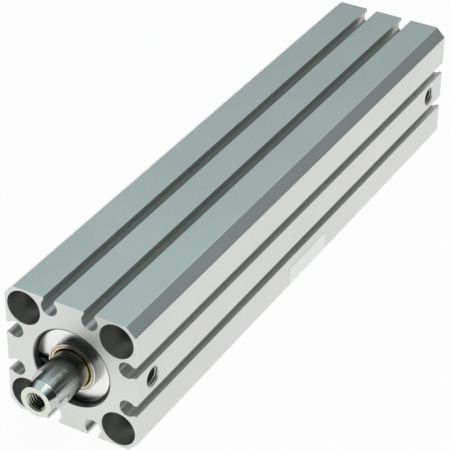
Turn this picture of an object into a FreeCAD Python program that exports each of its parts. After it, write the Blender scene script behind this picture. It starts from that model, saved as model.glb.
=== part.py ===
"""Compact pneumatic cylinder: square barrel with switch slots, rod, piston, covers and seals.

Frame: origin on the rod's axis in the front mounting face, +X to the side with the ports,
+Y to the rear, +Z up. The rod points to -Y and is drawn in. Lengths are in millimetres.
"""
import FreeCAD, Part
import os

import Sketcher

os.makedirs("parts", exist_ok=True)
doc = FreeCAD.newDocument("compact_cylinder")

# Driving dimensions: name, value, meaning
DIMENSIONS = [
    ("stroke", "125", "travel of the rod"),
    ("bore_diameter", "20", "cylinder bore"),
    ("barrel_side", "36", "side of the square barrel"),
    ("barrel_edge_chamfer", "2.6", "flat on each long edge of the barrel"),
    ("bolt_inset", "5.25", "corner holes' axes from the sides, for a pitch of 25.5"),
    ("bolt_hole_diameter", "5.4", "through hole for an M5 bolt"),
    ("bolt_head_diameter", "9.2", "counterbore for the bolt's head"),
    ("bolt_head_depth", "11.5", "depth of the counterbore"),
    ("slot_spacing", "11.1", "between the two switch slots of a side"),
    ("slot_lip_width", "3.0", "mouth of a switch slot"),
    ("slot_pocket_diameter", "4.4", "round pocket of a switch slot"),
    ("slot_pocket_depth", "2.55", "centre of the pocket below the face"),
    ("port_tap_diameter", "4.2", "tapping hole of an M5 port"),
    ("port_chamfer", "0.65", "countersink at a port's mouth"),
    ("port_thread_depth", "5.0", "length of a port's tapped part"),
    ("port_passage_diameter", "2.0", "air passage from port to bore"),
    ("front_port_offset", "1.3", "front port's axis past the rod cover's pilot"),
    ("rear_port_offset", "2.5", "rear port's axis past the head cover's pilot"),
    ("cover_seat_step", "0.5", "radial step from the bore to a cover's seat"),
    ("seat_mouth_chamfer", "0.2", "broken edge of a cover seat"),
    ("ring_setback", "1.5", "snap ring below the end face"),
    ("ring_thickness", "1.0", "snap ring's thickness"),
    ("ring_groove_depth", "0.7", "radial depth of the snap ring's groove"),
    ("ring_groove_slack", "0.1", "groove wider and deeper than the snap ring"),
    ("ring_width", "1.2", "snap ring's radial width"),
    ("ring_eccentricity", "0.3", "inner edge's shift to the gap, which thins the ends"),
    ("ring_lug_diameter", "3.2", "rounded plier lug"),
    ("ring_lug_inset", "1.8", "lugs' holes from the ring's outer edge"),
    ("ring_lug_angle", "27", "angle from the gap's middle to a lug's hole, degrees"),
    ("ring_lug_hole", "1.5", "plier hole in a lug"),
    ("ring_lug_land", "1.1", "lug's edge at the gap beyond its hole's centre"),
    ("ring_turn", "135", "snap ring's gap turned from the top to the left and down, degrees"),
    ("pilot_clearance", "0.015", "radial, between a cover's pilot and its seat"),
    ("oring_front_land", "0.6", "pilot in front of its O-ring groove"),
    ("oring_groove_width", "2.2", "O-ring groove of a cover"),
    ("oring_rear_land", "0.6", "pilot behind its O-ring groove"),
    ("oring_groove_depth", "1.35", "O-ring groove below the cover's seat"),
    ("oring_clearance", "0.01", "between a seated static seal and its groove"),
    ("nose_clearance", "1.5", "radial, air space between a cover's inner end and the bore"),
    ("rear_nose_length", "5.1", "inner end of the head cover"),
    ("boss_wall", "0.4", "raised boss round the bush"),
    ("boss_height", "2.2", "boss above the rod cover's face"),
    ("boss_edge", "0.15", "broken edge of the boss"),
    ("bush_wall", "1.07", "wall of the rod bush"),
    ("bush_length", "8.0", "length of the rod bush"),
    ("bush_lead", "0.3", "chamfer at the bush's mouth"),
    ("bush_edge", "0.15", "broken outer edge of the bush's front"),
    ("press_clearance", "0.01", "radial, for pressed and glued seats"),
    ("running_clearance", "0.03", "radial, between sliding surfaces"),
    ("throat_clearance", "0.4", "radial, between the rod and the cover's lips"),
    ("throat_length", "0.7", "lip between the bush and the rod seal"),
    ("rod_seal_height", "2.17", "rod seal's radial height"),
    ("rod_seal_length", "3.0", "length of the rod seal"),
    ("seal_lip_length", "1.0", "cover's lip behind the rod seal"),
    ("bumper_thickness", "1.5", "stop ring on a cover's inner end"),
    ("bumper_rod_gap", "1.2", "radial, between the rod and a stop ring"),
    ("bumper_edge", "0.3", "stop ring's edge inside the nose's"),
    ("stop_gap", "0.1", "between piston and stop ring at each end of the stroke"),
    ("head_recess_diameter", "11", "shallow dish in the head cover's outer face"),
    ("head_recess_depth", "0.8", "depth of that dish"),
    ("rod_diameter", "10", "piston rod"),
    ("rod_reach", "14.5", "rod's tip in front of the mounting face, drawn in"),
    ("rod_tip_length", "1.9", "tapered lead at the rod's tip"),
    ("rod_tip_taper", "0.95", "radial drop of that lead"),
    ("flats_depth", "1.0", "wrench flats below the rod's surface"),
    ("flats_length", "5.5", "wrench flats from the tip"),
    ("flats_turn", "36.3", "rod turned about its axis, degrees"),
    ("rod_tap_diameter", "4.2", "tapping hole of the M5 rod thread"),
    ("rod_thread_chamfer", "0.65", "countersink of the rod thread"),
    ("rod_thread_depth", "10", "depth of the rod's tapping hole"),
    ("drill_tip_length", "1.2", "cone at the end of that hole"),
    ("spigot_diameter", "6", "rod's end inside the piston"),
    ("spigot_clearance", "0.05", "radial, round the rod's spigot"),
    ("spigot_chamfer", "0.5", "lead on the spigot's end"),
    ("rod_seat_depth", "2.0", "rod's shoulder below the piston's front face"),
    ("rod_seat_clearance", "0.02", "radial, round the rod's shoulder"),
    ("rod_oring_section", "0.9", "O-ring under the rod's shoulder"),
    ("land_clearance", "0.15", "radial, between the piston's lands and the bore"),
    ("front_land", "1.2", "piston in front of its wear ring"),
    ("wear_ring_length", "4.0", "wear ring along the bore"),
    ("wear_ring_thickness", "1.0", "wear ring's wall"),
    ("wear_ring_split", "0.8", "slanting cut through the wear ring"),
    ("ring_side_clearance", "0.05", "at each side of a piston ring in its groove"),
    ("magnet_wall", "1.2", "between the wear ring's groove and the magnet"),
    ("magnet_length", "3.2", "magnet ring along the bore"),
    ("magnet_bore_gap", "0.7", "radial, between the magnet ring and the bore"),
    ("magnet_spigot", "12", "piston's spigot inside the magnet ring"),
    ("magnet_clearance", "0.02", "radial, between the magnet and that spigot"),
    ("seal_wall", "1.2", "between the magnet and the piston seal's groove"),
    ("piston_seal_length", "3.3", "piston seal along the bore"),
    ("piston_seal_height", "2.5", "piston seal's radial height"),
    ("rear_land", "1.5", "piston behind its seal"),
    ("clamp_wall", "1.7", "wall that the nut clamps against"),
    ("nut_recess_clearance", "0.25", "radial, round the nut's corners in its recess"),
    ("washer_thickness", "0.6", "washer under the nut"),
    ("washer_clearance", "0.5", "radial, round the washer in that recess"),
    ("nut_height", "3.2", "thin M6 nut"),
    ("nut_width", "10", "across the nut's flats"),
    ("nut_corner", "0.5", "height of the nut's bevelled corners"),
    ("label_length", "20.2", "sticker along the barrel"),
    ("label_height", "5.2", "sticker across the side"),
    ("label_thickness", "0.1", "sticker's thickness"),
    ("label_start", "75", "sticker's front edge from the mounting face"),
    ("label_margin", "0.1", "sticker above the barrel's lower edge flat"),
]

sheet = doc.addObject("Spreadsheet::Sheet", "dims")
for row, (name, value, meaning) in enumerate(DIMENSIONS, start=1):
    sheet.set(f"A{row}", name)
    sheet.set(f"B{row}", value)
    sheet.set(f"C{row}", meaning)
    sheet.setAlias(f"B{row}", name)
doc.recompute()

# Places and radii that several pieces share, each worked out from the sheet
STATIONS = [
    ("bore_radius", "dims.bore_diameter / 2"),
    ("seat_radius", "fit.bore_radius + dims.cover_seat_step"),
    ("ring_groove_radius", "fit.seat_radius + dims.ring_groove_depth"),
    ("snap_ring_radius", "fit.ring_groove_radius - dims.ring_groove_slack"),
    ("pilot_radius", "fit.seat_radius - dims.pilot_clearance"),
    ("oring_groove_radius", "fit.seat_radius - dims.oring_groove_depth"),
    ("pilot_length", "dims.oring_front_land + dims.oring_groove_width + dims.oring_rear_land"),
    ("cover_face", "dims.ring_setback + dims.ring_thickness"),
    ("seat_depth", "fit.cover_face + fit.pilot_length"),
    ("nose_radius", "fit.bore_radius - dims.nose_clearance"),
    ("bush_end", "dims.bush_length - dims.boss_height"),
    ("rod_seal_start", "fit.bush_end + dims.throat_length"),
    ("rod_seal_end", "fit.rod_seal_start + dims.rod_seal_length"),
    ("rod_cover_end", "fit.rod_seal_end + dims.seal_lip_length"),
    ("head_cover_end", "fit.pilot_length + dims.rear_nose_length"),
    ("front_stack", "fit.cover_face + fit.rod_cover_end + dims.bumper_thickness"),
    ("rear_stack", "fit.cover_face + fit.head_cover_end + dims.bumper_thickness"),
    ("wear_groove_end", "dims.front_land + dims.wear_ring_length + 2 * dims.ring_side_clearance"),
    ("magnet_start", "fit.wear_groove_end + dims.magnet_wall"),
    ("piston_split", "fit.magnet_start + dims.magnet_length"),
    ("seal_groove_start", "fit.piston_split + dims.seal_wall"),
    ("seal_groove_end", "fit.seal_groove_start + dims.piston_seal_length + 2 * dims.ring_side_clearance"),
    ("piston_length", "fit.seal_groove_end + dims.rear_land"),
    ("nut_seat", "fit.piston_split + dims.clamp_wall"),
    ("nut_start", "fit.nut_seat + dims.washer_thickness"),
    ("spigot_end", "fit.nut_start + dims.nut_height"),
    ("piston_face", "fit.front_stack + dims.stop_gap + dims.stroke"),
    ("barrel_length", "fit.piston_face + fit.piston_length + dims.stop_gap + fit.rear_stack"),
    ("front_port_y", "fit.seat_depth + dims.front_port_offset"),
    ("rear_port_y", "fit.barrel_length - fit.seat_depth - dims.rear_port_offset"),
    ("bolt_axis", "dims.barrel_side / 2 - dims.bolt_inset"),
    ("rod_radius", "dims.rod_diameter / 2"),
    ("rod_tip", "-fit.piston_face - dims.rod_reach"),
    ("rod_bore_radius", "fit.rod_radius + dims.running_clearance"),
    ("bush_radius", "fit.rod_bore_radius + dims.bush_wall"),
    ("boss_radius", "fit.bush_radius + dims.boss_wall"),
    ("rod_seal_radius", "fit.rod_bore_radius + dims.rod_seal_height"),
    ("throat_radius", "fit.rod_radius + dims.throat_clearance"),
    ("spigot_radius", "dims.spigot_diameter / 2"),
    ("spigot_hole_radius", "fit.spigot_radius + dims.spigot_clearance"),
    ("land_radius", "fit.bore_radius - dims.land_clearance"),
    ("ring_radius", "fit.bore_radius - dims.running_clearance"),
    ("wear_ring_inner", "fit.ring_radius - dims.wear_ring_thickness"),
    ("wear_groove_radius", "fit.wear_ring_inner - dims.running_clearance"),
    ("piston_seal_inner", "fit.ring_radius - dims.piston_seal_height"),
    ("seal_groove_radius", "fit.piston_seal_inner - dims.running_clearance"),
    ("magnet_radius", "fit.bore_radius - dims.magnet_bore_gap"),
    ("nut_corner_radius", "dims.nut_width / 2 / cos(30deg)"),
    ("nut_recess_radius", "fit.nut_corner_radius + dims.nut_recess_clearance"),
    ("rod_oring_groove", "fit.spigot_hole_radius + dims.rod_oring_section + 2 * dims.oring_clearance"),
]
fit = doc.addObject("App::VarSet", "fit")
for name, expression in STATIONS:
    fit.addProperty("App::PropertyFloat", name)
    fit.setExpression(name, expression)
    doc.recompute()

parts = []


def value_of(expression):
    """The number that an expression on the sheet gives now."""
    result = sheet.evalExpression(expression)
    return float(getattr(result, "Value", result))


def new_body(label, base_y="0", turn_axis=None, turn="0"):
    """A body with its label, placed along the rod's axis and turned by an angle in degrees."""
    body = doc.addObject("PartDesign::Body", label)
    body.Label = label
    if turn_axis is not None:
        body.Placement.Rotation = FreeCAD.Rotation(turn_axis, value_of(turn))
        body.setExpression("Placement.Rotation.Angle", turn)
    body.setExpression("Placement.Base.y", base_y)
    parts.append(body)
    return body


def origin_feature(body, role):
    """The origin plane or axis of a body that has this role."""
    return next(feature for feature in body.Origin.OriginFeatures if feature.Role == role)


def new_sketch(body, name, role="XY_Plane", offset=None):
    """An empty sketch on an origin plane, moved in the plane's own axes by offset's expressions."""
    sketch = body.newObject("Sketcher::SketchObject", name)
    sketch.AttachmentSupport = [(origin_feature(body, role), "")]
    sketch.MapMode = "FlatFace"
    for axis, expression in (offset or {}).items():
        sketch.setExpression(f"AttachmentOffset.Base.{axis}", expression)
    return sketch


def place_point(sketch, geometry, position, at):
    """Bind one point of a sketch to a pair of expressions."""
    for kind, expression in zip(("DistanceX", "DistanceY"), at):
        constraint = Sketcher.Constraint(kind, -1, 1, geometry, position, value_of(expression))
        index = sketch.addConstraint(constraint)
        sketch.setExpression(f"Constraints[{index}]", expression)


def outline(sketch, corners):
    """A closed outline of straight lines with each corner bound to its expressions."""
    points = [FreeCAD.Vector(value_of(x), value_of(y), 0) for x, y in corners]
    count = len(corners)
    first = sketch.GeometryCount
    for number in range(count):
        line = Part.LineSegment(points[number], points[(number + 1) % count])
        sketch.addGeometry(line, False)
    for number in range(count):
        following = first + (number + 1) % count
        sketch.addConstraint(Sketcher.Constraint("Coincident", first + number, 2, following, 1))
    for number, corner in enumerate(corners):
        place_point(sketch, first + number, 1, corner)


def round_outline(sketch, centre, radius):
    """A circle with its centre and radius bound to expressions."""
    middle = FreeCAD.Vector(value_of(centre[0]), value_of(centre[1]), 0)
    circle = Part.Circle(middle, FreeCAD.Vector(0, 0, 1), value_of(radius))
    number = sketch.addGeometry(circle, False)
    place_point(sketch, number, 3, centre)
    index = sketch.addConstraint(Sketcher.Constraint("Radius", number, value_of(radius)))
    sketch.setExpression(f"Constraints[{index}]", radius)


def revolve(body, sketch, kind="PartDesign::Revolution", axis="V_Axis"):
    """Turn a sketch once round one of its axes, adding or cutting material."""
    feature = body.newObject(kind, f"{sketch.Name}_turned")
    feature.Profile = sketch
    feature.ReferenceAxis = (sketch, [axis])
    feature.Angle = 360
    doc.recompute()
    return feature


def turned(body, name, corners):
    """A round piece: an outline of radius and place, turned about the body's Y axis."""
    sketch = new_sketch(body, f"{name}_outline")
    outline(sketch, corners)
    return revolve(body, sketch)


def cut_round(body, name, corners, offset=None, axis="V_Axis"):
    """A round cut: an outline turned about one of the sketch's axes and taken away."""
    before = body.Shape.Volume
    sketch = new_sketch(body, f"{name}_outline", offset=offset)
    outline(sketch, corners)
    feature = revolve(body, sketch, "PartDesign::Groove", axis)
    check_cut(body, name, before)
    return feature


def check_cut(body, name, before):
    """Stop if a cut has taken nothing away."""
    if not body.Shape.Volume < before - 1e-6:
        raise RuntimeError(f"{name} cuts nothing from {body.Label}")


def pad(body, sketch, length):
    """Extrude a sketch on the XZ plane towards +Y."""
    feature = body.newObject("PartDesign::Pad", f"{sketch.Name}_pad")
    feature.Profile = sketch
    feature.Reversed = True
    feature.setExpression("Length", length)
    doc.recompute()
    return feature


def pocket(body, sketch, length):
    """Cut a sketch on the XZ plane away towards +Y."""
    before = body.Shape.Volume
    feature = body.newObject("PartDesign::Pocket", f"{sketch.Name}_pocket")
    feature.Profile = sketch
    feature.Reversed = False
    feature.setExpression("Length", length)
    doc.recompute()
    check_cut(body, sketch.Name, before)
    return feature


def repeat_round(body, name, features, count):
    """Repeat features evenly round the body's Y axis."""
    pattern = body.newObject("PartDesign::PolarPattern", name)
    pattern.Originals = features
    pattern.Axis = (origin_feature(body, "Y_Axis"), [""])
    pattern.Angle = 360
    pattern.Occurrences = count
    body.Tip = pattern
    doc.recompute()
    return pattern


def build_barrel():
    """Square extrusion with slots on four sides, corner holes, stepped bore and two ports."""
    body = new_body("barrel")
    half = "dims.barrel_side / 2"
    flat = "(dims.barrel_side / 2 - dims.barrel_edge_chamfer)"
    section = new_sketch(body, "barrel_section", "XZ_Plane")
    outline(section, [
        (f"-{flat}", f"-{half}"), (flat, f"-{half}"), (half, f"-{flat}"), (half, flat),
        (flat, half), (f"-{flat}", half), (f"-{half}", flat), (f"-{half}", f"-{flat}"),
    ])
    pad(body, section, "fit.barrel_length")
    cut_switch_slots(body)
    cut_bolt_holes(body)
    cut_stepped_bore(body)
    for name, place in (("front_port", "fit.front_port_y"), ("rear_port", "fit.rear_port_y")):
        cut_port(body, name, place)


def cut_switch_slots(body):
    """A pair of keyhole-shaped slots in the top, repeated on the other three sides."""
    half = "dims.barrel_side / 2"
    depth = f"{half} - dims.slot_pocket_depth"
    mouths = new_sketch(body, "slot_mouths", "XZ_Plane")
    pockets = new_sketch(body, "slot_pockets", "XZ_Plane")
    for side in ("-", ""):
        middle = f"{side}dims.slot_spacing / 2"
        left = f"{middle} - dims.slot_lip_width / 2"
        right = f"{middle} + dims.slot_lip_width / 2"
        outline(mouths, [(left, depth), (right, depth), (right, half), (left, half)])
        round_outline(pockets, (middle, depth), "dims.slot_pocket_diameter / 2")
    cuts = [pocket(body, mouths, "fit.barrel_length"), pocket(body, pockets, "fit.barrel_length")]
    repeat_round(body, "slots_on_four_sides", cuts, 4)


def cut_bolt_holes(body):
    """One through hole with a counterbore at each end, repeated at the four corners."""
    hole = "dims.bolt_hole_diameter / 2"
    head = "dims.bolt_head_diameter / 2"
    rear = "fit.barrel_length - dims.bolt_head_depth"
    cut = cut_round(body, "bolt_hole", [
        ("0", "0"), (head, "0"), (head, "dims.bolt_head_depth"), (hole, "dims.bolt_head_depth"),
        (hole, rear), (head, rear), (head, "fit.barrel_length"), ("0", "fit.barrel_length"),
    ], offset={"x": "fit.bolt_axis", "z": "fit.bolt_axis"})
    repeat_round(body, "bolt_holes_at_corners", [cut], 4)


def cut_stepped_bore(body):
    """The bore with a cover seat and a snap-ring groove at each end."""
    mouth = "fit.seat_radius + dims.seat_mouth_chamfer"
    groove_end = "fit.cover_face + dims.ring_groove_slack"
    front = [
        (mouth, "0"),
        ("fit.seat_radius", "dims.seat_mouth_chamfer"),
        ("fit.seat_radius", "dims.ring_setback"),
        ("fit.ring_groove_radius", "dims.ring_setback"),
        ("fit.ring_groove_radius", groove_end),
        ("fit.seat_radius", groove_end),
        ("fit.seat_radius", "fit.seat_depth"),
        ("fit.bore_radius", "fit.seat_depth"),
    ]
    rear = [(radius, f"fit.barrel_length - ({place})") for radius, place in reversed(front)]
    cut_round(body, "bore", [("0", "0"), *front, *rear, ("0", "fit.barrel_length")])


def cut_port(body, name, place):
    """A tapped port in the +X side with its passage to the bore."""
    face = "dims.barrel_side / 2"
    tap = "dims.port_tap_diameter / 2"
    passage = "dims.port_passage_diameter / 2"
    tap_end = f"{face} - dims.port_thread_depth"
    inside = "fit.bore_radius / 2"
    cut_round(body, name, [
        (face, "0"),
        (face, f"{tap} + dims.port_chamfer"),
        (f"{face} - dims.port_chamfer", tap),
        (tap_end, tap),
        (f"{tap_end} - ({tap} - {passage})", passage),
        (inside, passage),
        (inside, "0"),
    ], offset={"y": place}, axis="H_Axis")


def pilot_outline():
    """Corners of a cover's pilot and nose start, from its outer face inwards, with the O-ring groove."""
    groove_start = "dims.oring_front_land"
    groove_end = f"{groove_start} + dims.oring_groove_width"
    return [
        ("fit.pilot_radius", "0"),
        ("fit.pilot_radius", groove_start),
        ("fit.oring_groove_radius", groove_start),
        ("fit.oring_groove_radius", groove_end),
        ("fit.pilot_radius", groove_end),
        ("fit.pilot_radius", "fit.pilot_length"),
        ("fit.nose_radius", "fit.pilot_length"),
    ]


def build_rod_cover():
    """Turned cover with its boss, bush seat, throat and seal groove round the rod."""
    body = new_body("rod_cover", "fit.cover_face")
    bush_seat = "fit.bush_radius + dims.press_clearance"
    seal_groove = "fit.rod_seal_radius + dims.oring_clearance"
    turned(body, "rod_cover", [
        (bush_seat, "-dims.boss_height"),
        ("fit.boss_radius - dims.boss_edge", "-dims.boss_height"),
        ("fit.boss_radius", "dims.boss_edge - dims.boss_height"),
        ("fit.boss_radius", "0"),
        *pilot_outline(),
        ("fit.nose_radius", "fit.rod_cover_end"),
        ("fit.throat_radius", "fit.rod_cover_end"),
        ("fit.throat_radius", "fit.rod_seal_end"),
        (seal_groove, "fit.rod_seal_end"),
        (seal_groove, "fit.rod_seal_start"),
        ("fit.throat_radius", "fit.rod_seal_start"),
        ("fit.throat_radius", "fit.bush_end"),
        (bush_seat, "fit.bush_end"),
    ])


def build_rod_bush():
    """Bronze bearing sleeve pressed into the rod cover."""
    body = new_body("rod_bush", "fit.cover_face - dims.boss_height")
    mouth = "fit.rod_bore_radius + dims.bush_lead"
    turned(body, "rod_bush", [
        (mouth, "0"),
        ("fit.bush_radius - dims.bush_edge", "0"),
        ("fit.bush_radius", "dims.bush_edge"),
        ("fit.bush_radius", "dims.bush_length"),
        (mouth, "dims.bush_length"),
        ("fit.rod_bore_radius", "dims.bush_length - dims.bush_lead"),
        ("fit.rod_bore_radius", "dims.bush_lead"),
    ])


def build_rod_seal():
    """Lip seal: a heel, and two lips that open towards the pressure side."""
    body = new_body("rod_seal", "fit.cover_face + fit.rod_seal_start")
    inner = "fit.rod_bore_radius"
    outer = "fit.rod_seal_radius"
    height = "dims.rod_seal_height"
    length = "dims.rod_seal_length"
    heel = f"{inner} + 0.12 * {height}"
    notch = f"0.45 * {length}"
    turned(body, "rod_seal", [
        (heel, "0"),
        (outer, "0"),
        (outer, f"0.93 * {length}"),
        (f"{outer} - 0.15 * {height}", length),
        (f"{inner} + 0.62 * {height}", notch),
        (f"{inner} + 0.4 * {height}", notch),
        (f"{inner} + 0.16 * {height}", length),
        (inner, f"0.87 * {length}"),
        (inner, f"0.73 * {length}"),
        (heel, f"0.4 * {length}"),
    ])


def build_cover_oring(label, place, turn):
    """Static O-ring in a cover's groove."""
    body = new_body(label, place, FreeCAD.Vector(0, 0, 1), turn)
    half = "dims.oring_groove_depth / 2"
    middle = "dims.oring_front_land + dims.oring_groove_width / 2"
    sketch = new_sketch(body, f"{label}_section")
    round_outline(sketch, (f"fit.seat_radius - {half}", middle), f"{half} - dims.oring_clearance")
    revolve(body, sketch)


def build_snap_ring(label, place):
    """Internal ring, thinner towards its gap, with a drilled plier lug at each end."""
    body = new_body(label, place, FreeCAD.Vector(0, -1, 0), "dims.ring_turn")
    outer = "fit.snap_ring_radius"
    ring = new_sketch(body, f"{label}_outline", "XZ_Plane")
    round_outline(ring, ("0", "0"), outer)
    round_outline(ring, ("0", "dims.ring_eccentricity"), f"{outer} - dims.ring_width")
    pad(body, ring, "dims.ring_thickness")
    lug_circle = f"({outer} - dims.ring_lug_inset)"
    across = f"{lug_circle} * sin(dims.ring_lug_angle * 1deg)"
    height = f"{lug_circle} * cos(dims.ring_lug_angle * 1deg)"
    lugs = new_sketch(body, f"{label}_lugs", "XZ_Plane")
    holes = new_sketch(body, f"{label}_lug_holes", "XZ_Plane")
    for side in ("-", ""):
        round_outline(lugs, (f"{side}{across}", height), "dims.ring_lug_diameter / 2")
        round_outline(holes, (f"{side}{across}", height), "dims.ring_lug_hole / 2")
    pad(body, lugs, "dims.ring_thickness")
    gap = new_sketch(body, f"{label}_gap", "XZ_Plane")
    half_gap = f"({across} - dims.ring_lug_land)"
    low = f"{height} - dims.ring_lug_diameter"
    outline(gap, [(f"-{half_gap}", low), (half_gap, low), (half_gap, outer), (f"-{half_gap}", outer)])
    pocket(body, gap, "dims.ring_thickness")
    pocket(body, holes, "dims.ring_thickness")


def build_bumper(label, place, turn):
    """Stop ring bonded to a cover's inner end."""
    body = new_body(label, place, FreeCAD.Vector(0, 0, 1), turn)
    inner = "fit.rod_radius + dims.bumper_rod_gap"
    outer = "fit.nose_radius - dims.bumper_edge"
    edge = "dims.bumper_thickness - dims.bumper_edge"
    turned(body, label, [
        (inner, "0"),
        (outer, "0"),
        (outer, edge),
        (f"{outer} - dims.bumper_edge", "dims.bumper_thickness"),
        (f"{inner} + dims.bumper_edge", "dims.bumper_thickness"),
        (inner, edge),
    ])


def build_head_cover():
    """Plug that closes the rear end, drawn from its outer face inwards."""
    body = new_body("head_cover", "fit.barrel_length - fit.cover_face", FreeCAD.Vector(0, 0, 1), "180")
    dish = "dims.head_recess_diameter / 2"
    turned(body, "head_cover", [
        ("0", "dims.head_recess_depth"),
        (f"{dish} - dims.head_recess_depth", "dims.head_recess_depth"),
        (dish, "0"),
        *pilot_outline(),
        ("fit.nose_radius", "fit.head_cover_end"),
        ("0", "fit.head_cover_end"),
    ])


def build_piston_rod():
    """Rod with a tapered tip, female thread hole, wrench flats and a spigot for the piston."""
    body = new_body("piston_rod", "fit.piston_face", FreeCAD.Vector(0, 1, 0), "dims.flats_turn")
    turned(body, "piston_rod", [
        ("0", "fit.rod_tip"),
        ("fit.rod_radius - dims.rod_tip_taper", "fit.rod_tip"),
        ("fit.rod_radius", "fit.rod_tip + dims.rod_tip_length"),
        ("fit.rod_radius", "dims.rod_seat_depth"),
        ("fit.spigot_radius", "dims.rod_seat_depth"),
        ("fit.spigot_radius", "fit.spigot_end - dims.spigot_chamfer"),
        ("fit.spigot_radius - dims.spigot_chamfer", "fit.spigot_end"),
        ("0", "fit.spigot_end"),
    ])
    tap = "dims.rod_tap_diameter / 2"
    cut_round(body, "rod_thread_hole", [
        ("0", "fit.rod_tip"),
        (f"{tap} + dims.rod_thread_chamfer", "fit.rod_tip"),
        (tap, "fit.rod_tip + dims.rod_thread_chamfer"),
        (tap, "fit.rod_tip + dims.rod_thread_depth"),
        ("0", "fit.rod_tip + dims.rod_thread_depth + dims.drill_tip_length"),
    ])
    flats = new_sketch(body, "wrench_flats", "XZ_Plane", {"z": "-fit.rod_tip"})
    for side in ("-", ""):
        near = f"{side}(fit.rod_radius - dims.flats_depth)"
        far = f"{side}dims.rod_diameter"
        outline(flats, [(near, "-fit.rod_radius"), (far, "-fit.rod_radius"), (far, "fit.rod_radius"),
                        (near, "fit.rod_radius")])
    pocket(body, flats, "dims.flats_length")


def build_piston_front():
    """Front half: rod seat, wear-ring groove and the spigot that carries the magnet."""
    body = new_body("piston_front", "fit.piston_face")
    rod_seat = "fit.rod_radius + dims.rod_seat_clearance"
    oring_end = "dims.rod_seat_depth + dims.rod_oring_section + 2 * dims.oring_clearance"
    turned(body, "piston_front", [
        (rod_seat, "0"),
        ("fit.land_radius", "0"),
        ("fit.land_radius", "dims.front_land"),
        ("fit.wear_groove_radius", "dims.front_land"),
        ("fit.wear_groove_radius", "fit.wear_groove_end"),
        ("fit.land_radius", "fit.wear_groove_end"),
        ("fit.land_radius", "fit.magnet_start"),
        ("dims.magnet_spigot / 2", "fit.magnet_start"),
        ("dims.magnet_spigot / 2", "fit.piston_split"),
        ("fit.spigot_hole_radius", "fit.piston_split"),
        ("fit.spigot_hole_radius", oring_end),
        ("fit.rod_oring_groove", oring_end),
        ("fit.rod_oring_groove", "dims.rod_seat_depth"),
        (rod_seat, "dims.rod_seat_depth"),
    ])


def build_piston_rear():
    """Rear half: seal groove outside and the nut's recess inside."""
    body = new_body("piston_rear", "fit.piston_face")
    turned(body, "piston_rear", [
        ("fit.spigot_hole_radius", "fit.piston_split"),
        ("fit.land_radius", "fit.piston_split"),
        ("fit.land_radius", "fit.seal_groove_start"),
        ("fit.seal_groove_radius", "fit.seal_groove_start"),
        ("fit.seal_groove_radius", "fit.seal_groove_end"),
        ("fit.land_radius", "fit.seal_groove_end"),
        ("fit.land_radius", "fit.piston_length"),
        ("fit.nut_recess_radius", "fit.piston_length"),
        ("fit.nut_recess_radius", "fit.nut_seat"),
        ("fit.spigot_hole_radius", "fit.nut_seat"),
    ])


def build_magnet_ring():
    """Sensing magnet trapped between the piston's halves."""
    body = new_body("magnet_ring", "fit.piston_face")
    inner = "dims.magnet_spigot / 2 + dims.magnet_clearance"
    turned(body, "magnet_ring", [
        (inner, "fit.magnet_start"),
        ("fit.magnet_radius", "fit.magnet_start"),
        ("fit.magnet_radius", "fit.piston_split"),
        (inner, "fit.piston_split"),
    ])


def build_piston_rod_oring():
    """Static O-ring in the pocket under the rod's shoulder."""
    body = new_body("piston_rod_oring", "fit.piston_face")
    half = "dims.rod_oring_section / 2"
    sketch = new_sketch(body, "piston_rod_oring_section")
    centre = (f"fit.spigot_hole_radius + {half} + dims.oring_clearance",
              f"dims.rod_seat_depth + {half} + dims.oring_clearance")
    round_outline(sketch, centre, half)
    revolve(body, sketch)


def build_wear_ring():
    """Guide ring round the piston, with a slanting cut so that it can be sprung into its groove."""
    body = new_body("wear_ring", "fit.piston_face + dims.front_land + dims.ring_side_clearance")
    turned(body, "wear_ring", [
        ("fit.wear_ring_inner", "0"),
        ("fit.ring_radius", "0"),
        ("fit.ring_radius", "dims.wear_ring_length"),
        ("fit.wear_ring_inner", "dims.wear_ring_length"),
    ])
    before = body.Shape.Volume
    slant = "dims.wear_ring_length / 2"
    split = new_sketch(body, "wear_ring_split")
    outline(split, [
        (f"-{slant} - dims.wear_ring_split", "0"),
        (f"-{slant}", "0"),
        (f"{slant}", "dims.wear_ring_length"),
        (f"{slant} - dims.wear_ring_split", "dims.wear_ring_length"),
    ])
    cut = body.newObject("PartDesign::Pocket", "wear_ring_cut")
    cut.Profile = split
    cut.Reversed = True
    cut.setExpression("Length", "dims.bore_diameter")
    doc.recompute()
    check_cut(body, "wear_ring_split", before)


def build_piston_seal():
    """Double-acting seal with a lip at each side and a hollow between the lips."""
    body = new_body("piston_seal", "fit.piston_face + fit.seal_groove_start + dims.ring_side_clearance")
    length = "dims.piston_seal_length"
    height = "dims.piston_seal_height"
    outside = [
        (f"fit.ring_radius - 0.2 * {height}", "0"),
        ("fit.ring_radius", f"0.12 * {length}"),
        ("fit.ring_radius", f"0.22 * {length}"),
        (f"fit.ring_radius - 0.22 * {height}", f"0.38 * {length}"),
    ]
    mirrored = [(radius, f"{length} - {place}") for radius, place in reversed(outside)]
    turned(body, "piston_seal", [
        ("fit.piston_seal_inner", "0"),
        *outside,
        *mirrored,
        ("fit.piston_seal_inner", length),
        ("fit.piston_seal_inner", f"0.7 * {length}"),
        (f"fit.piston_seal_inner + 0.12 * {height}", f"0.6 * {length}"),
        (f"fit.piston_seal_inner + 0.12 * {height}", f"0.4 * {length}"),
        ("fit.piston_seal_inner", f"0.3 * {length}"),
    ])


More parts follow.
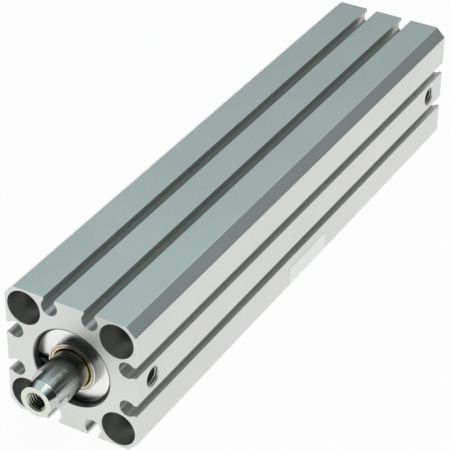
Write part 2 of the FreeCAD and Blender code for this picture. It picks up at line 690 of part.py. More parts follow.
def build_piston_washer():
    """Washer between the piston and the nut."""
    body = new_body("piston_washer", "fit.piston_face")
    outer = "fit.nut_recess_radius - dims.washer_clearance"
    turned(body, "piston_washer", [
        ("fit.spigot_hole_radius", "fit.nut_seat"),
        (outer, "fit.nut_seat"),
        (outer, "fit.nut_start"),
        ("fit.spigot_hole_radius", "fit.nut_start"),
    ])


def build_piston_nut():
    """Thin hexagon nut with bevelled corners at its outer end."""
    body = new_body("piston_nut", "fit.piston_face + fit.nut_start")
    corner = "fit.nut_corner_radius"
    turns = [f"{60 * number}deg" for number in range(6)]
    hexagon = new_sketch(body, "nut_hexagon", "XZ_Plane")
    outline(hexagon, [(f"{corner} * cos({turn})", f"{corner} * sin({turn})") for turn in turns])
    pad(body, hexagon, "dims.nut_height")
    hole = "fit.spigot_radius + dims.press_clearance"
    top = "dims.nut_height"
    cut_round(body, "nut_thread_hole", [("0", "0"), (hole, "0"), (hole, top), ("0", top)])
    bevel = f"({corner} - dims.nut_corner / tan(30deg))"
    cut_round(body, "nut_bevel", [(bevel, top), (corner, top), (corner, f"{top} - dims.nut_corner")])


def build_label():
    """Bare sticker on the +X side, above the lower edge flat."""
    label = doc.addObject("Part::Box", "blank_label")
    label.Label = "blank_label"
    label.setExpression("Length", "dims.label_thickness")
    label.setExpression("Width", "dims.label_length")
    label.setExpression("Height", "dims.label_height")
    label.setExpression("Placement.Base.x", "dims.barrel_side / 2")
    label.setExpression("Placement.Base.y", "dims.label_start")
    bottom = "dims.barrel_edge_chamfer + dims.label_margin - dims.barrel_side / 2"
    label.setExpression("Placement.Base.z", bottom)
    parts.append(label)


build_barrel()
build_rod_cover()
build_rod_bush()
build_rod_seal()
build_head_cover()
REAR_FACE = "fit.barrel_length - fit.cover_face"
build_cover_oring("rod_cover_oring", "fit.cover_face", "0")
build_cover_oring("head_cover_oring", REAR_FACE, "180")
build_snap_ring("rod_cover_snap_ring", "dims.ring_setback")
build_snap_ring("head_cover_snap_ring", REAR_FACE)
build_bumper("front_bumper", "fit.cover_face + fit.rod_cover_end", "0")
build_bumper("rear_bumper", f"{REAR_FACE} - fit.head_cover_end", "180")
build_piston_rod()
build_piston_front()
build_piston_rear()
build_magnet_ring()
build_piston_rod_oring()
build_wear_ring()
build_piston_seal()
build_piston_washer()
build_piston_nut()
build_label()
doc.recompute()

for item in doc.Objects:
    if "Invalid" in item.State or "Error" in item.State:
        raise RuntimeError(f"{item.Label} did not build")
for part in parts:
    if part.Shape.isNull() or not part.Shape.isValid() or len(part.Shape.Solids) != 1:
        raise RuntimeError(f"{part.Label} is not one valid solid")
for part in parts:
    part.Shape.exportStep(f"parts/{part.Label}.step")
    print(part.Label, round(part.Shape.Volume, 2), part.Shape.BoundBox)
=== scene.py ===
"""Looks of the compact pneumatic cylinder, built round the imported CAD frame.

The barrel, the rod and the sticker are surfaces worked out with numpy at the CAD's own sizes,
with eased edges and cut threads. The countersink of the rod's thread is 0.15 mm smaller than the
CAD's, as the photograph shows it. Every other CAD node keeps its mesh and gets a procedural finish.
Sizes are in millimetres. Shell turns them into metres, and Graph.place turns the coordinates that
finishes read into millimetres. The lamp and the camera are placed in metres.
"""

import logging
from abc import ABC, abstractmethod
from dataclasses import dataclass, field
from enum import Enum
from typing import Any, ClassVar, Iterable, Optional, Union

import bpy
import numpy as np
from mathutils import Matrix, Vector
from mathutils.geometry import delaunay_2d_cdt


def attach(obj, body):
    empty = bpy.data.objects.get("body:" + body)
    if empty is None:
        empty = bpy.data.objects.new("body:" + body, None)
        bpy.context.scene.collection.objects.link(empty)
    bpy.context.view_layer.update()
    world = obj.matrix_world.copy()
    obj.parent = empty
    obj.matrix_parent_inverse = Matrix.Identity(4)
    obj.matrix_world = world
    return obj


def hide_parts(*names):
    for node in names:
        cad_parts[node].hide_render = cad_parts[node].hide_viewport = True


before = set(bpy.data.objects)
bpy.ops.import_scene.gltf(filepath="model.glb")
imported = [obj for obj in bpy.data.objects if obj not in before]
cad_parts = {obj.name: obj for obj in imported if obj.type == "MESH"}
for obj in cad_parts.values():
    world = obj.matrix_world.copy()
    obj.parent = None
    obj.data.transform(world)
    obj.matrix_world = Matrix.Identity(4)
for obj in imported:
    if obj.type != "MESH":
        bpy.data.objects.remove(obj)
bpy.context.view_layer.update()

LOG = logging.getLogger("cylinder_looks")

Array = np.ndarray
Point = tuple[float, float, float]
Colour = tuple[float, float, float, float]
Value = Union["Field", float, Colour, Point]

# Units, plain colours and the middle values of the two noises

MILLIMETRE = 0.001
FULL_TURN = 2.0 * np.pi
BLACK: Colour = (0.0, 0.0, 0.0, 1.0)
WHITE: Colour = (1.0, 1.0, 1.0, 1.0)
MIDDLE_NOISE = 0.5
MIDDLE_CELL = 0.4

# Tolerances of the surfaces, what the triangulation keeps, and points on a rounded edge

WELD_STEP = 1e-4
SAME_POINT = 1e-9
LOOP_TOLERANCE = 1e-7
SHORTEST_RUN = 1e-6
INSIDE_WITH_HOLES = 2
EDGE_STEPS = 5
FINE_EDGE_STEPS = 4

# Room round the places that finishes tell apart

END_MARGIN = 0.05
CONE_MARGIN = 0.05
FIT_MARGIN = 0.02
FLAT_MARGIN = 0.01


class Side(Enum):
    """Which way a turned surface looks."""

    OUTWARD = 1.0
    INWARD = -1.0


class Body(Enum):
    """The CAD bodies that pieces ride on."""

    BARREL = "barrel"
    ROD = "rod"


# Shapes

@dataclass(frozen=True)
class Axis:
    """A line that shapes are turned about, with two directions across it.

    Args:
        origin: Start of the line.
        along: Direction of the line.
        first: Direction across the line at angle zero.
        second: Direction across the line at a quarter turn.
    """

    origin: Point
    along: Point
    first: Point
    second: Point

    def direction(self, outward: Array, lengthwise: Array, angle: Array) -> Array:
        """Direction lengthwise * along + outward * (cos(angle) * first + sin(angle) * second).

        Args:
            outward: Part of the direction away from the line.
            lengthwise: Part of the direction along the line.
            angle: Angle round the line in radians.

        Returns:
            Directions, with the three components last.
        """
        across = np.cos(angle)[..., None] * np.array(self.first)
        across = across + np.sin(angle)[..., None] * np.array(self.second)
        return outward[..., None] * across + lengthwise[..., None] * np.array(self.along)

    def place(self, radius: Array, height: Array, angle: Array) -> Array:
        """Point at origin + direction(radius, height, angle).

        Args:
            radius: Distance from the line.
            height: Distance along the line.
            angle: Angle round the line in radians.

        Returns:
            Points, with the three coordinates last.
        """
        return np.array(self.origin) + self.direction(radius, height, angle)

    def ring(self, radius: float, height: float, angles: Array) -> Array:
        """A circle of points round the line at one height."""
        return self.place(np.full(angles.shape, radius), np.full(angles.shape, height), angles)


def along_axis(x: float, z: float) -> Axis:
    """An axis parallel to the rod through a point of the section."""
    return Axis((x, 0.0, z), (0.0, 1.0, 0.0), (1.0, 0.0, 0.0), (0.0, 0.0, 1.0))


ROD_AXIS = along_axis(0.0, 0.0)


def even_angles(count: int) -> Array:
    """Angles evenly round a full turn, without the closing one."""
    return np.linspace(0.0, FULL_TURN, count, endpoint=False)


@dataclass
class Outline:
    """A run of points in a plane with the outward normal at each.

    Args:
        points: Points, one row each.
        normals: Unit normals, one row each.
    """

    points: Array
    normals: Array

    @classmethod
    def arc(
        cls, centre: tuple[float, float], radius: float, start: float, end: float, count: int,
        hollow: bool = False,
    ) -> "Outline":
        """Points centre + radius * (cos, sin) for angles from start to end.

        Args:
            centre: Centre of the arc.
            radius: Radius of the arc.
            start: First angle in degrees.
            end: Last angle in degrees.
            count: Number of points.
            hollow: True where the solid lies outside the arc, so that normals look to the centre.

        Returns:
            The arc as an outline.
        """
        angles = np.radians(np.linspace(start, end, count))
        directions = np.stack([np.cos(angles), np.sin(angles)], axis=1)
        sign = -1.0 if hollow else 1.0
        return cls(np.array(centre) + radius * directions, sign * directions)

    @classmethod
    def joined(cls, runs: Iterable["Outline"]) -> "Outline":
        """Several outlines in a row, with straight lines between them; a repeated end is left out.

        Args:
            runs: Outlines in order.

        Returns:
            One outline.
        """
        parts = list(runs)
        points = np.concatenate([part.points for part in parts])
        normals = np.concatenate([part.normals for part in parts])
        moves = sum(np.abs(np.diff(rows, axis=0)).max(axis=1) for rows in (points, normals))
        fresh = np.concatenate([[True], moves > SAME_POINT])
        return cls(points[fresh], normals[fresh])

    def turned(self, degrees: float) -> "Outline":
        """The outline turned round the plane's origin.

        Args:
            degrees: Angle, anticlockwise.

        Returns:
            The turned outline.
        """
        cosine, sine = np.cos(np.radians(degrees)), np.sin(np.radians(degrees))
        matrix = np.array([[cosine, sine], [-sine, cosine]])
        return Outline(self.points @ matrix, self.normals @ matrix)

    def moved(self, across: float, up: float) -> "Outline":
        """The outline moved in its plane."""
        return Outline(self.points + np.array([across, up]), self.normals)


def profile(corners: list[tuple[float, float]], easing: list[float], side: Side) -> Outline:
    """Straight runs between corners, each corner rounded by its easing radius or left sharp.

    A rounded corner is the arc that touches both runs. A sharp corner is two equal points, each
    with the normal of its own run. Normals stand on the right of the way travelled, times side.

    Args:
        corners: Corners as (radius, height).
        easing: Radius at each corner, zero for a sharp one; the two ends are never rounded.
        side: Whether the surface looks away from the axis or towards it.

    Returns:
        The profile as an outline of (radius, height).
    """
    places = np.array(corners, float)
    runs = np.diff(places, axis=0)
    runs = runs / np.linalg.norm(runs, axis=1, keepdims=True)
    normals = side.value * np.stack([runs[:, 1], -runs[:, 0]], axis=1)
    parts = [Outline(places[:1], normals[:1])]
    for index in range(1, len(places) - 1):
        before, after = normals[index - 1], normals[index]
        radius = easing[index]
        if radius <= 0.0:
            parts.append(Outline(places[[index, index]], np.stack([before, after])))
            continue
        turn = np.arccos(np.clip(before @ after, -1.0, 1.0))
        bulge = -np.sign(runs[index] @ before)
        touch = places[index] - runs[index - 1] * radius * np.tan(turn / 2.0)
        start = np.arctan2(before[1], before[0])
        sweep = (np.arctan2(after[1], after[0]) - start + np.pi) % FULL_TURN - np.pi
        angles = start + sweep * np.linspace(0.0, 1.0, EDGE_STEPS)
        directions = np.stack([np.cos(angles), np.sin(angles)], axis=1)
        centre = touch - bulge * radius * before
        parts.append(Outline(centre + bulge * radius * directions, directions))
    parts.append(Outline(places[-1:], normals[-1:]))
    return Outline.joined(parts)


class Patch:
    """One surface: points, the normal at each point, and faces that look along the normals."""

    def __init__(self, points: Array, normals: Array, faces: Array) -> None:
        """Keeps the arrays and turns round each face that looks against its normals.

        Args:
            points: Points, one row each.
            normals: Unit normals, one row each.
            faces: Rows of four point numbers; a triangle repeats one.
        """
        self.points = points
        self.normals = normals
        first, second, third, fourth = (points[faces[:, corner]] for corner in range(4))
        facing = np.cross(third - first, fourth - second)
        against = np.einsum("ij,ij->i", facing, normals[faces].sum(axis=1)) < 0.0
        self.faces = np.where(against[:, None], faces[:, ::-1], faces)

    @classmethod
    def grid(cls, points: Array, normals: Array, closed: bool, skip: Optional[Array] = None) -> "Patch":
        """Quads between neighbours of a grid.

        Args:
            points: Points by row and column, with the coordinates last.
            normals: Normals in the same layout.
            closed: Whether the last column joins the first.
            skip: Numbers of the quads to leave out, counted row by row.

        Returns:
            The surface.
        """
        rows, columns = points.shape[:2]
        numbers = np.arange(rows * columns).reshape(rows, columns)
        after = np.roll(numbers, -1, axis=1)
        span = columns if closed else columns - 1
        faces = np.stack(
            [numbers[:-1, :span], after[:-1, :span], after[1:, :span], numbers[1:, :span]], axis=-1
        ).reshape(-1, 4)
        if skip is not None:
            faces = np.delete(faces, skip, axis=0)
        return cls(points.reshape(-1, 3), normals.reshape(-1, 3), faces)

    @classmethod
    def turned(cls, shape: Outline, axis: Axis, angles: Array) -> "Patch":
        """A profile carried round an axis.

        Args:
            shape: Profile of (radius, height).
            axis: Line to turn about.
            angles: Angles round it, closed by the last joining the first.

        Returns:
            The surface.
        """
        layout = (len(shape.points), len(angles))
        radius, height, outward, lengthwise = (
            np.broadcast_to(column[:, None], layout)
            for column in (*shape.points.T, *shape.normals.T)
        )
        turn = np.broadcast_to(angles, layout)
        return cls.grid(
            axis.place(radius, height, turn), axis.direction(outward, lengthwise, turn), True
        )

    @classmethod
    def flat(cls, loops: list[Array], normal: Point) -> "Patch":
        """A plane face between an outer loop and the holes in it, in triangles.

        Args:
            loops: Closed loops of points in one plane, which don't cross.
            normal: Normal of the plane, along one of the frame's axes.

        Returns:
            The surface.
        """
        points = np.concatenate(loops)
        plane = [axis for axis in range(3) if normal[axis] == 0.0]
        ends = np.cumsum([len(loop) for loop in loops])
        numbers = np.split(np.arange(len(points)), ends[:-1])
        found = delaunay_2d_cdt(
            points[:, plane].tolist(), [], [loop.tolist() for loop in numbers],
            INSIDE_WITH_HOLES, LOOP_TOLERANCE,
        )
        if len(found[0]) != len(points):
            raise ValueError("the loops of a plane face touch or cross")
        triangles = np.array(found[2])
        faces = np.concatenate([triangles, triangles[:, 2:]], axis=1)
        return cls(points, np.tile(np.array(normal, float), (len(points), 1)), faces)


@dataclass
class Shell:
    """Patches that make one piece, welded where they meet.

    Args:
        name: Name of the piece.
        patches: Its surfaces, in millimetres.
    """

    name: str
    patches: list[Patch] = field(default_factory=list)

    def add(self, *patches: Patch) -> None:
        """Adds surfaces to the piece."""
        self.patches.extend(patches)

    def welded(self) -> tuple[Array, Array, Array, Array]:
        """Joins the patches, merges equal points and drops faces that have no area.

        Returns:
            Points in metres, quads, triangles, and a normal for each corner of those faces in turn.
        """
        points = np.concatenate([patch.points for patch in self.patches])
        normals = np.concatenate([patch.normals for patch in self.patches])
        sizes = np.array([len(patch.points) for patch in self.patches])
        shifts = np.cumsum(sizes) - sizes
        faces = np.concatenate(
            [patch.faces + shift for patch, shift in zip(self.patches, shifts)]
        )
        places = np.round(points / WELD_STEP).astype(np.int64)
        _, kept, welded = np.unique(places, axis=0, return_index=True, return_inverse=True)
        corners = welded.reshape(-1)[faces]
        differs = corners != np.roll(corners, -1, axis=1)
        folded = (corners[:, 0] == corners[:, 2]) | (corners[:, 1] == corners[:, 3])
        sides = np.where(folded, 0, differs.sum(axis=1))
        four, three = sides == 4, sides == 3
        quads = corners[four]
        triangles = corners[three][differs[three]].reshape(-1, 3)
        corner_normals = np.concatenate([
            normals[faces[four]].reshape(-1, 3), normals[faces[three]][differs[three]],
        ])
        return points[kept] * MILLIMETRE, quads, triangles, corner_normals

    def make(self, material: bpy.types.Material) -> bpy.types.Object:
        """Puts the surface into a new mesh object at the origin.

        Args:
            material: Finish of the whole piece.

        Returns:
            The object.
        """
        points, quads, triangles, normals = self.welded()
        mesh = bpy.data.meshes.new(self.name)
        mesh.from_pydata(points.tolist(), [], quads.tolist() + triangles.tolist())
        mesh.polygons.foreach_set("use_smooth", np.ones(len(mesh.polygons), bool))
        mesh.normals_split_custom_set(normals.tolist())
        mesh.materials.append(material)
        piece = bpy.data.objects.new(self.name, mesh)
        bpy.context.scene.collection.objects.link(piece)
        return piece

    def build(self, finish: "Finish", body: Body, *replaced: str) -> None:
        """Makes the piece, sets it on its body and hides the CAD nodes that it stands for.

        Args:
            finish: Finish of the piece.
            body: CAD body that it rides on.
            replaced: Names of the CAD nodes that it stands for.
        """
        piece = self.make(finish.material())
        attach(piece, body.value)
        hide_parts(*replaced)
        count = len(piece.data.polygons)
        LOG.info("%s: %d faces, in place of %s", self.name, count, ", ".join(replaced))


@dataclass(frozen=True)
class InsideThread:
    """A tapped hole with a countersunk mouth.

    Args:
        core: Radius at the crests.
        root: Radius at the roots.
        pitch: Rise in one turn.
        depth: Length of the tapped part from the mouth's face.
        countersink: Depth and radial size of the cone at the mouth.
        columns: Points round one turn.
    """

    core: float
    root: float
    pitch: float
    depth: float
    countersink: float
    columns: int = 72

    ROWS: ClassVar[tuple[float, ...]] = (
        0.0, 0.125, 0.25, 0.354, 0.458, 0.5625, 0.6875, 0.79, 0.896, 1.0,
    )
    CREST_END: ClassVar[float] = 0.25
    ROOT_START: ClassVar[float] = 0.5625
    ROOT_END: ClassVar[float] = 0.6875

    @property
    def mouth_radius(self) -> float:
        """Radius where the countersink meets the face."""
        return self.core + self.countersink

    def angles(self) -> Array:
        """Angles of the points on the mouth's circle."""
        return even_angles(self.columns)

    def mouth(self, axis: Axis) -> Array:
        """The circle where the countersink meets the face."""
        return axis.ring(self.mouth_radius, 0.0, self.angles())

    def patch(self, axis: Axis) -> Patch:
        """The thread's surface down to its depth.

        Radius = the larger of the countersink's cone and core + (root - core) * wave, where wave
        is a flat-topped V over one pitch that fades out over the last turn. Rows stand at shares
        of the pitch and climb one pitch in each turn, so that edges of the thread follow them.
        Each band between two rows has the normal of its own slope.

        Args:
            axis: Axis of the hole, starting in the mouth's face and running into the solid.

        Returns:
            The surface.
        """
        turns = np.arange(int(np.ceil(self.depth / self.pitch)) + 1)
        bands = np.stack([self.ROWS[:-1], self.ROWS[1:]], axis=1)
        phase = np.tile(bands, (len(turns), 1))
        climb = np.repeat(turns, len(bands))[:, None] + phase - 1.0
        bends = [0.0, self.CREST_END, self.ROOT_START, self.ROOT_END, 1.0]
        wave = np.interp(phase, bends, [0.0, 0.0, 1.0, 1.0, 0.0])
        angle = np.linspace(0.0, FULL_TURN, self.columns + 1)
        height = self.pitch * (climb[..., None] + angle / FULL_TURN)
        height = np.clip(height, 0.0, self.depth)
        cone = self.core + np.maximum(self.countersink - height, 0.0)
        fade = np.clip((self.depth - height) / self.pitch, 0.0, 1.0)
        radius = np.maximum(cone, self.core + (self.root - self.core) * wave[..., None] * fade)
        rise, widen = np.diff(height, axis=1), np.diff(radius, axis=1)
        length = np.hypot(rise, widen)
        sound = length > SHORTEST_RUN
        length = np.where(sound, length, 1.0)
        outward = np.repeat(np.where(sound, -rise / length, -1.0), 2, axis=1)
        lengthwise = np.repeat(np.where(sound, widen / length, 0.0), 2, axis=1)
        layout = (-1, self.columns + 1)
        turn = np.broadcast_to(angle, height.shape).reshape(layout)
        points = axis.place(radius.reshape(layout), height.reshape(layout), turn)
        normals = axis.direction(outward.reshape(layout), lengthwise.reshape(layout), turn)
        return Patch.grid(points, normals, False)


# Shader maths

class Field:
    """A shader value that takes part in Python expressions; each operator adds a Math node."""

    def __init__(self, graph: "Graph", socket: Optional[bpy.types.NodeSocket]) -> None:
        """Wraps a node's output, or nothing for a node that has none."""
        self.graph = graph
        self.socket = socket

    def math(self, operation: str, *values: Value) -> "Field":
        """Adds one Math node.

        Args:
            operation: Name of the operation.
            values: Its operands in order.

        Returns:
            The node's result.
        """
        return self.graph.add("ShaderNodeMath", {"operation": operation}, dict(enumerate(values)))

    def __add__(self, other: Value) -> "Field":
        """self + other"""
        return self.math("ADD", self, other)

    def __radd__(self, other: Value) -> "Field":
        """other + self"""
        return self.math("ADD", other, self)

    def __sub__(self, other: Value) -> "Field":
        """self - other"""
        return self.math("SUBTRACT", self, other)

    def __rsub__(self, other: Value) -> "Field":
        """other - self"""
        return self.math("SUBTRACT", other, self)

    def __mul__(self, other: Value) -> "Field":
        """self * other"""
        return self.math("MULTIPLY", self, other)

    def __rmul__(self, other: Value) -> "Field":
        """other * self"""
        return self.math("MULTIPLY", other, self)

    def __pow__(self, other: Value) -> "Field":
        """self to the power other"""
        return self.math("POWER", self, other)

    def __abs__(self) -> "Field":
        """The value without its sign."""
        return self.math("ABSOLUTE", self)

    def __lt__(self, other: Value) -> "Field":
        """One where self is below other, and zero elsewhere."""
        return self.math("LESS_THAN", self, other)

    def __gt__(self, other: Value) -> "Field":
        """One where self is above other, and zero elsewhere."""
        return self.math("GREATER_THAN", self, other)

    def larger(self, other: Value) -> "Field":
        """The larger of self and other."""
        return self.math("MAXIMUM", self, other)

    def smaller(self, other: Value) -> "Field":
        """The smaller of self and other."""
        return self.math("MINIMUM", self, other)

    def across(self, other: "Field") -> "Field":
        """(self^2 + other^2)^(1/2), the distance from the line where both are zero."""
        return (self * self + other * other) ** 0.5

    def step(self, low: float, high: float) -> "Field":
        """A smooth step from zero at low to one at high.

        Args:
            low: Value that gives zero.
            high: Value that gives one.

        Returns:
            The step.
        """
        return self.graph.add(
            "ShaderNodeMapRange", {"interpolation_type": "SMOOTHSTEP"},
            {"Value": self, "From Min": low, "From Max": high},
        )


class Graph:
    """A node tree that finishes are written into."""

    def __init__(self, tree: bpy.types.NodeTree) -> None:
        """Empties the tree."""
        self.tree = tree
        tree.nodes.clear()

    def add(
        self, kind: str, settings: Optional[dict[str, Any]] = None,
        sockets: Optional[dict[Union[str, int], Value]] = None, output: Union[str, int] = 0,
    ) -> Field:
        """Adds one node.

        Args:
            kind: Type of the node.
            settings: Attributes of the node, which are set first.
            sockets: Values or links of its inputs.
            output: Name or number of the output to return.

        Returns:
            That output.
        """
        node = self.tree.nodes.new(kind)
        for name, value in (settings or {}).items():
            setattr(node, name, value)
        for name, value in (sockets or {}).items():
            if isinstance(value, Field):
                self.tree.links.new(value.socket, node.inputs[name])
            else:
                node.inputs[name].default_value = value
        return Field(self, node.outputs[output] if len(node.outputs) else None)

    def place(self) -> tuple[Field, Field, Field]:
        """Object coordinates in the part's frame, turned from metres into millimetres.

        Returns:
            The three coordinates.
        """
        metres = self.add("ShaderNodeTexCoord", output="Object")
        scale = {0: metres, "Scale": 1.0 / MILLIMETRE}
        return self.split(self.add("ShaderNodeVectorMath", {"operation": "SCALE"}, scale))

    def split(self, vector: Field) -> tuple[Field, Field, Field]:
        """The three components of a vector."""
        outputs = self.add("ShaderNodeSeparateXYZ", None, {0: vector}).socket.node.outputs
        return Field(self, outputs[0]), Field(self, outputs[1]), Field(self, outputs[2])

    def vector(self, x: Value, y: Value, z: Value) -> Field:
        """A vector from its three components."""
        return self.add("ShaderNodeCombineXYZ", None, {0: x, 1: y, 2: z})

    def cells(self, count: float, *place: Value) -> Field:
        """Distance to the nearest of scattered points, in cells.

        Args:
            count: Cells in one millimetre.
            place: Coordinates to read it at, in millimetres.

        Returns:
            The distance.
        """
        return self.add("ShaderNodeTexVoronoi", None, {"Vector": self.vector(*place), "Scale": count})

    def mix(self, factor: Value, first: Value, second: Value) -> Field:
        """The colour first where factor is zero and second where it is one.

        Args:
            factor: Share of the second colour.
            first: First colour.
            second: Second colour.

        Returns:
            The mixed colour.
        """
        return self.add(
            "ShaderNodeMix", {"data_type": "RGBA"}, {0: factor, 6: first, 7: second}, output=2
        )

    def bump(self, height: Field, depth: float) -> Field:
        """A normal tilted by a height field.

        Args:
            height: Field about zero to one.
            depth: Height of one unit of the field, in millimetres.

        Returns:
            The normal.
        """
        return self.add(
            "ShaderNodeBump", None, {"Strength": 1.0, "Distance": depth * MILLIMETRE, "Height": height}
        )

    def surface(self, sockets: dict[Union[str, int], Value]) -> None:
        """Ends the tree in one Principled surface with these socket values or links."""
        shader = self.add("ShaderNodeBsdfPrincipled", None, sockets)
        self.add("ShaderNodeOutputMaterial", None, {"Surface": shader})


def even(count: float) -> Point:
    """The same number of cells along each axis."""
    return (count, count, count)


@dataclass(frozen=True)
class Layer:
    """One layer of noise in a finish.

    Args:
        cells: Cells in one millimetre along each axis.
        low: Noise up to which the layer gives no colour.
        high: Noise from which it gives its full share of colour.
        share: Share of colour that it gives.
        swing: Change of roughness from the lowest noise to the highest.
        detail: Finer layers added to the noise.
        weight: Weight of each finer layer.
    """

    cells: Point
    low: float = 0.0
    high: float = 1.0
    share: float = 1.0
    swing: float = 0.0
    detail: float = 2.0
    weight: float = 0.5

    def noise(self, graph: Graph, *place: Value) -> Field:
        """Smooth noise about one half, read at place * cells.

        Args:
            graph: Node tree to add it to.
            place: Coordinates in millimetres.

        Returns:
            The noise.
        """
        stretched = graph.vector(*(part * count for part, count in zip(place, self.cells)))
        return graph.add(
            "ShaderNodeTexNoise", None,
            {"Vector": stretched, "Scale": 1.0, "Detail": self.detail, "Roughness": self.weight},
        )

    def tone(self, noise: Field) -> Field:
        """Share of colour that the noise gives, a smooth step from low to high."""
        return noise.step(self.low, self.high) * self.share

    def rough(self, noise: Field) -> Field:
        """Change of roughness that the noise gives, (noise - middle) * swing."""
        return (noise - MIDDLE_NOISE) * self.swing


# Finishes

@dataclass(frozen=True)
class Finish(ABC):
    """What every finish has.

    Args:
        name: Name of its material.
        slot: Name of the material slot that it stands for; not used.
        tint: Main colour.
        shade: Second colour, which it drifts to in patches.
        roughness: Middle roughness.
    """

    name: str
    slot: str
    tint: Colour
    shade: Colour
    roughness: float

    def material(self) -> bpy.types.Material:
        """The finish's material, made at its first use.

        Returns:
            The material.
        """
        found = bpy.data.materials.get(self.name)
        if found is None:
            found = bpy.data.materials.new(self.name)
            found.use_nodes = True
            self.paint(Graph(found.node_tree))
        return found

    @abstractmethod
    def paint(self, graph: Graph) -> None:
        """Writes the finish into a material's nodes.

        Args:
            graph: Node tree of the material.
        """


@dataclass(frozen=True)
class MilledEnds:
    """Looks of the barrel's milled ends.

    Args:
        colour: Colour of the milled face.
        specks: Share of the sides' darker colour in its specks.
        roughness: Roughness of the face.
        scatter: Share of light that it scatters rather than mirrors.
        cutter_height: Height of the cutter's lines, against the sides' etched grain.
        edge_shadow: Colour of a painted shadow line on the edge of the bore's mouth.
        edge_shadow_reach: Radius that the line keeps within.
        edge_shadow_shift: Move of that circle to the side and up, where the line is widest.
    """

    colour: Colour
    specks: float
    roughness: float
    scatter: float
    cutter_height: float
    edge_shadow: Colour
    edge_shadow_reach: float
    edge_shadow_shift: float


@dataclass(frozen=True)
class SlotWalls:
    """Looks of the switch slots' walls.

    Args:
        reach: Distance from the middle planes that the slots keep within.
        start: Depth below a side where painted shade on their walls starts.
        full: Depth below a side where that painted shade is full.
        slot_shade: Share of painted shade on the walls, which darkens them towards black.
        top_slot_shade: Further share of painted shade on the walls of the upper slots only.
        scatter: Share of light that the walls scatter rather than mirror.
    """

    reach: float
    start: float
    full: float
    slot_shade: float
    top_slot_shade: float
    scatter: float


@dataclass(frozen=True)
class ShadedThread:
    """Looks of a cut thread, with painted shade in its roots.

    Args:
        cut: Colour of the bare thread.
        painted_shade: Colour of the painted shade.
        root_radius: Radius from which the thread counts as its root, which gets painted shade.
    """

    cut: Colour
    painted_shade: Colour
    root_radius: float


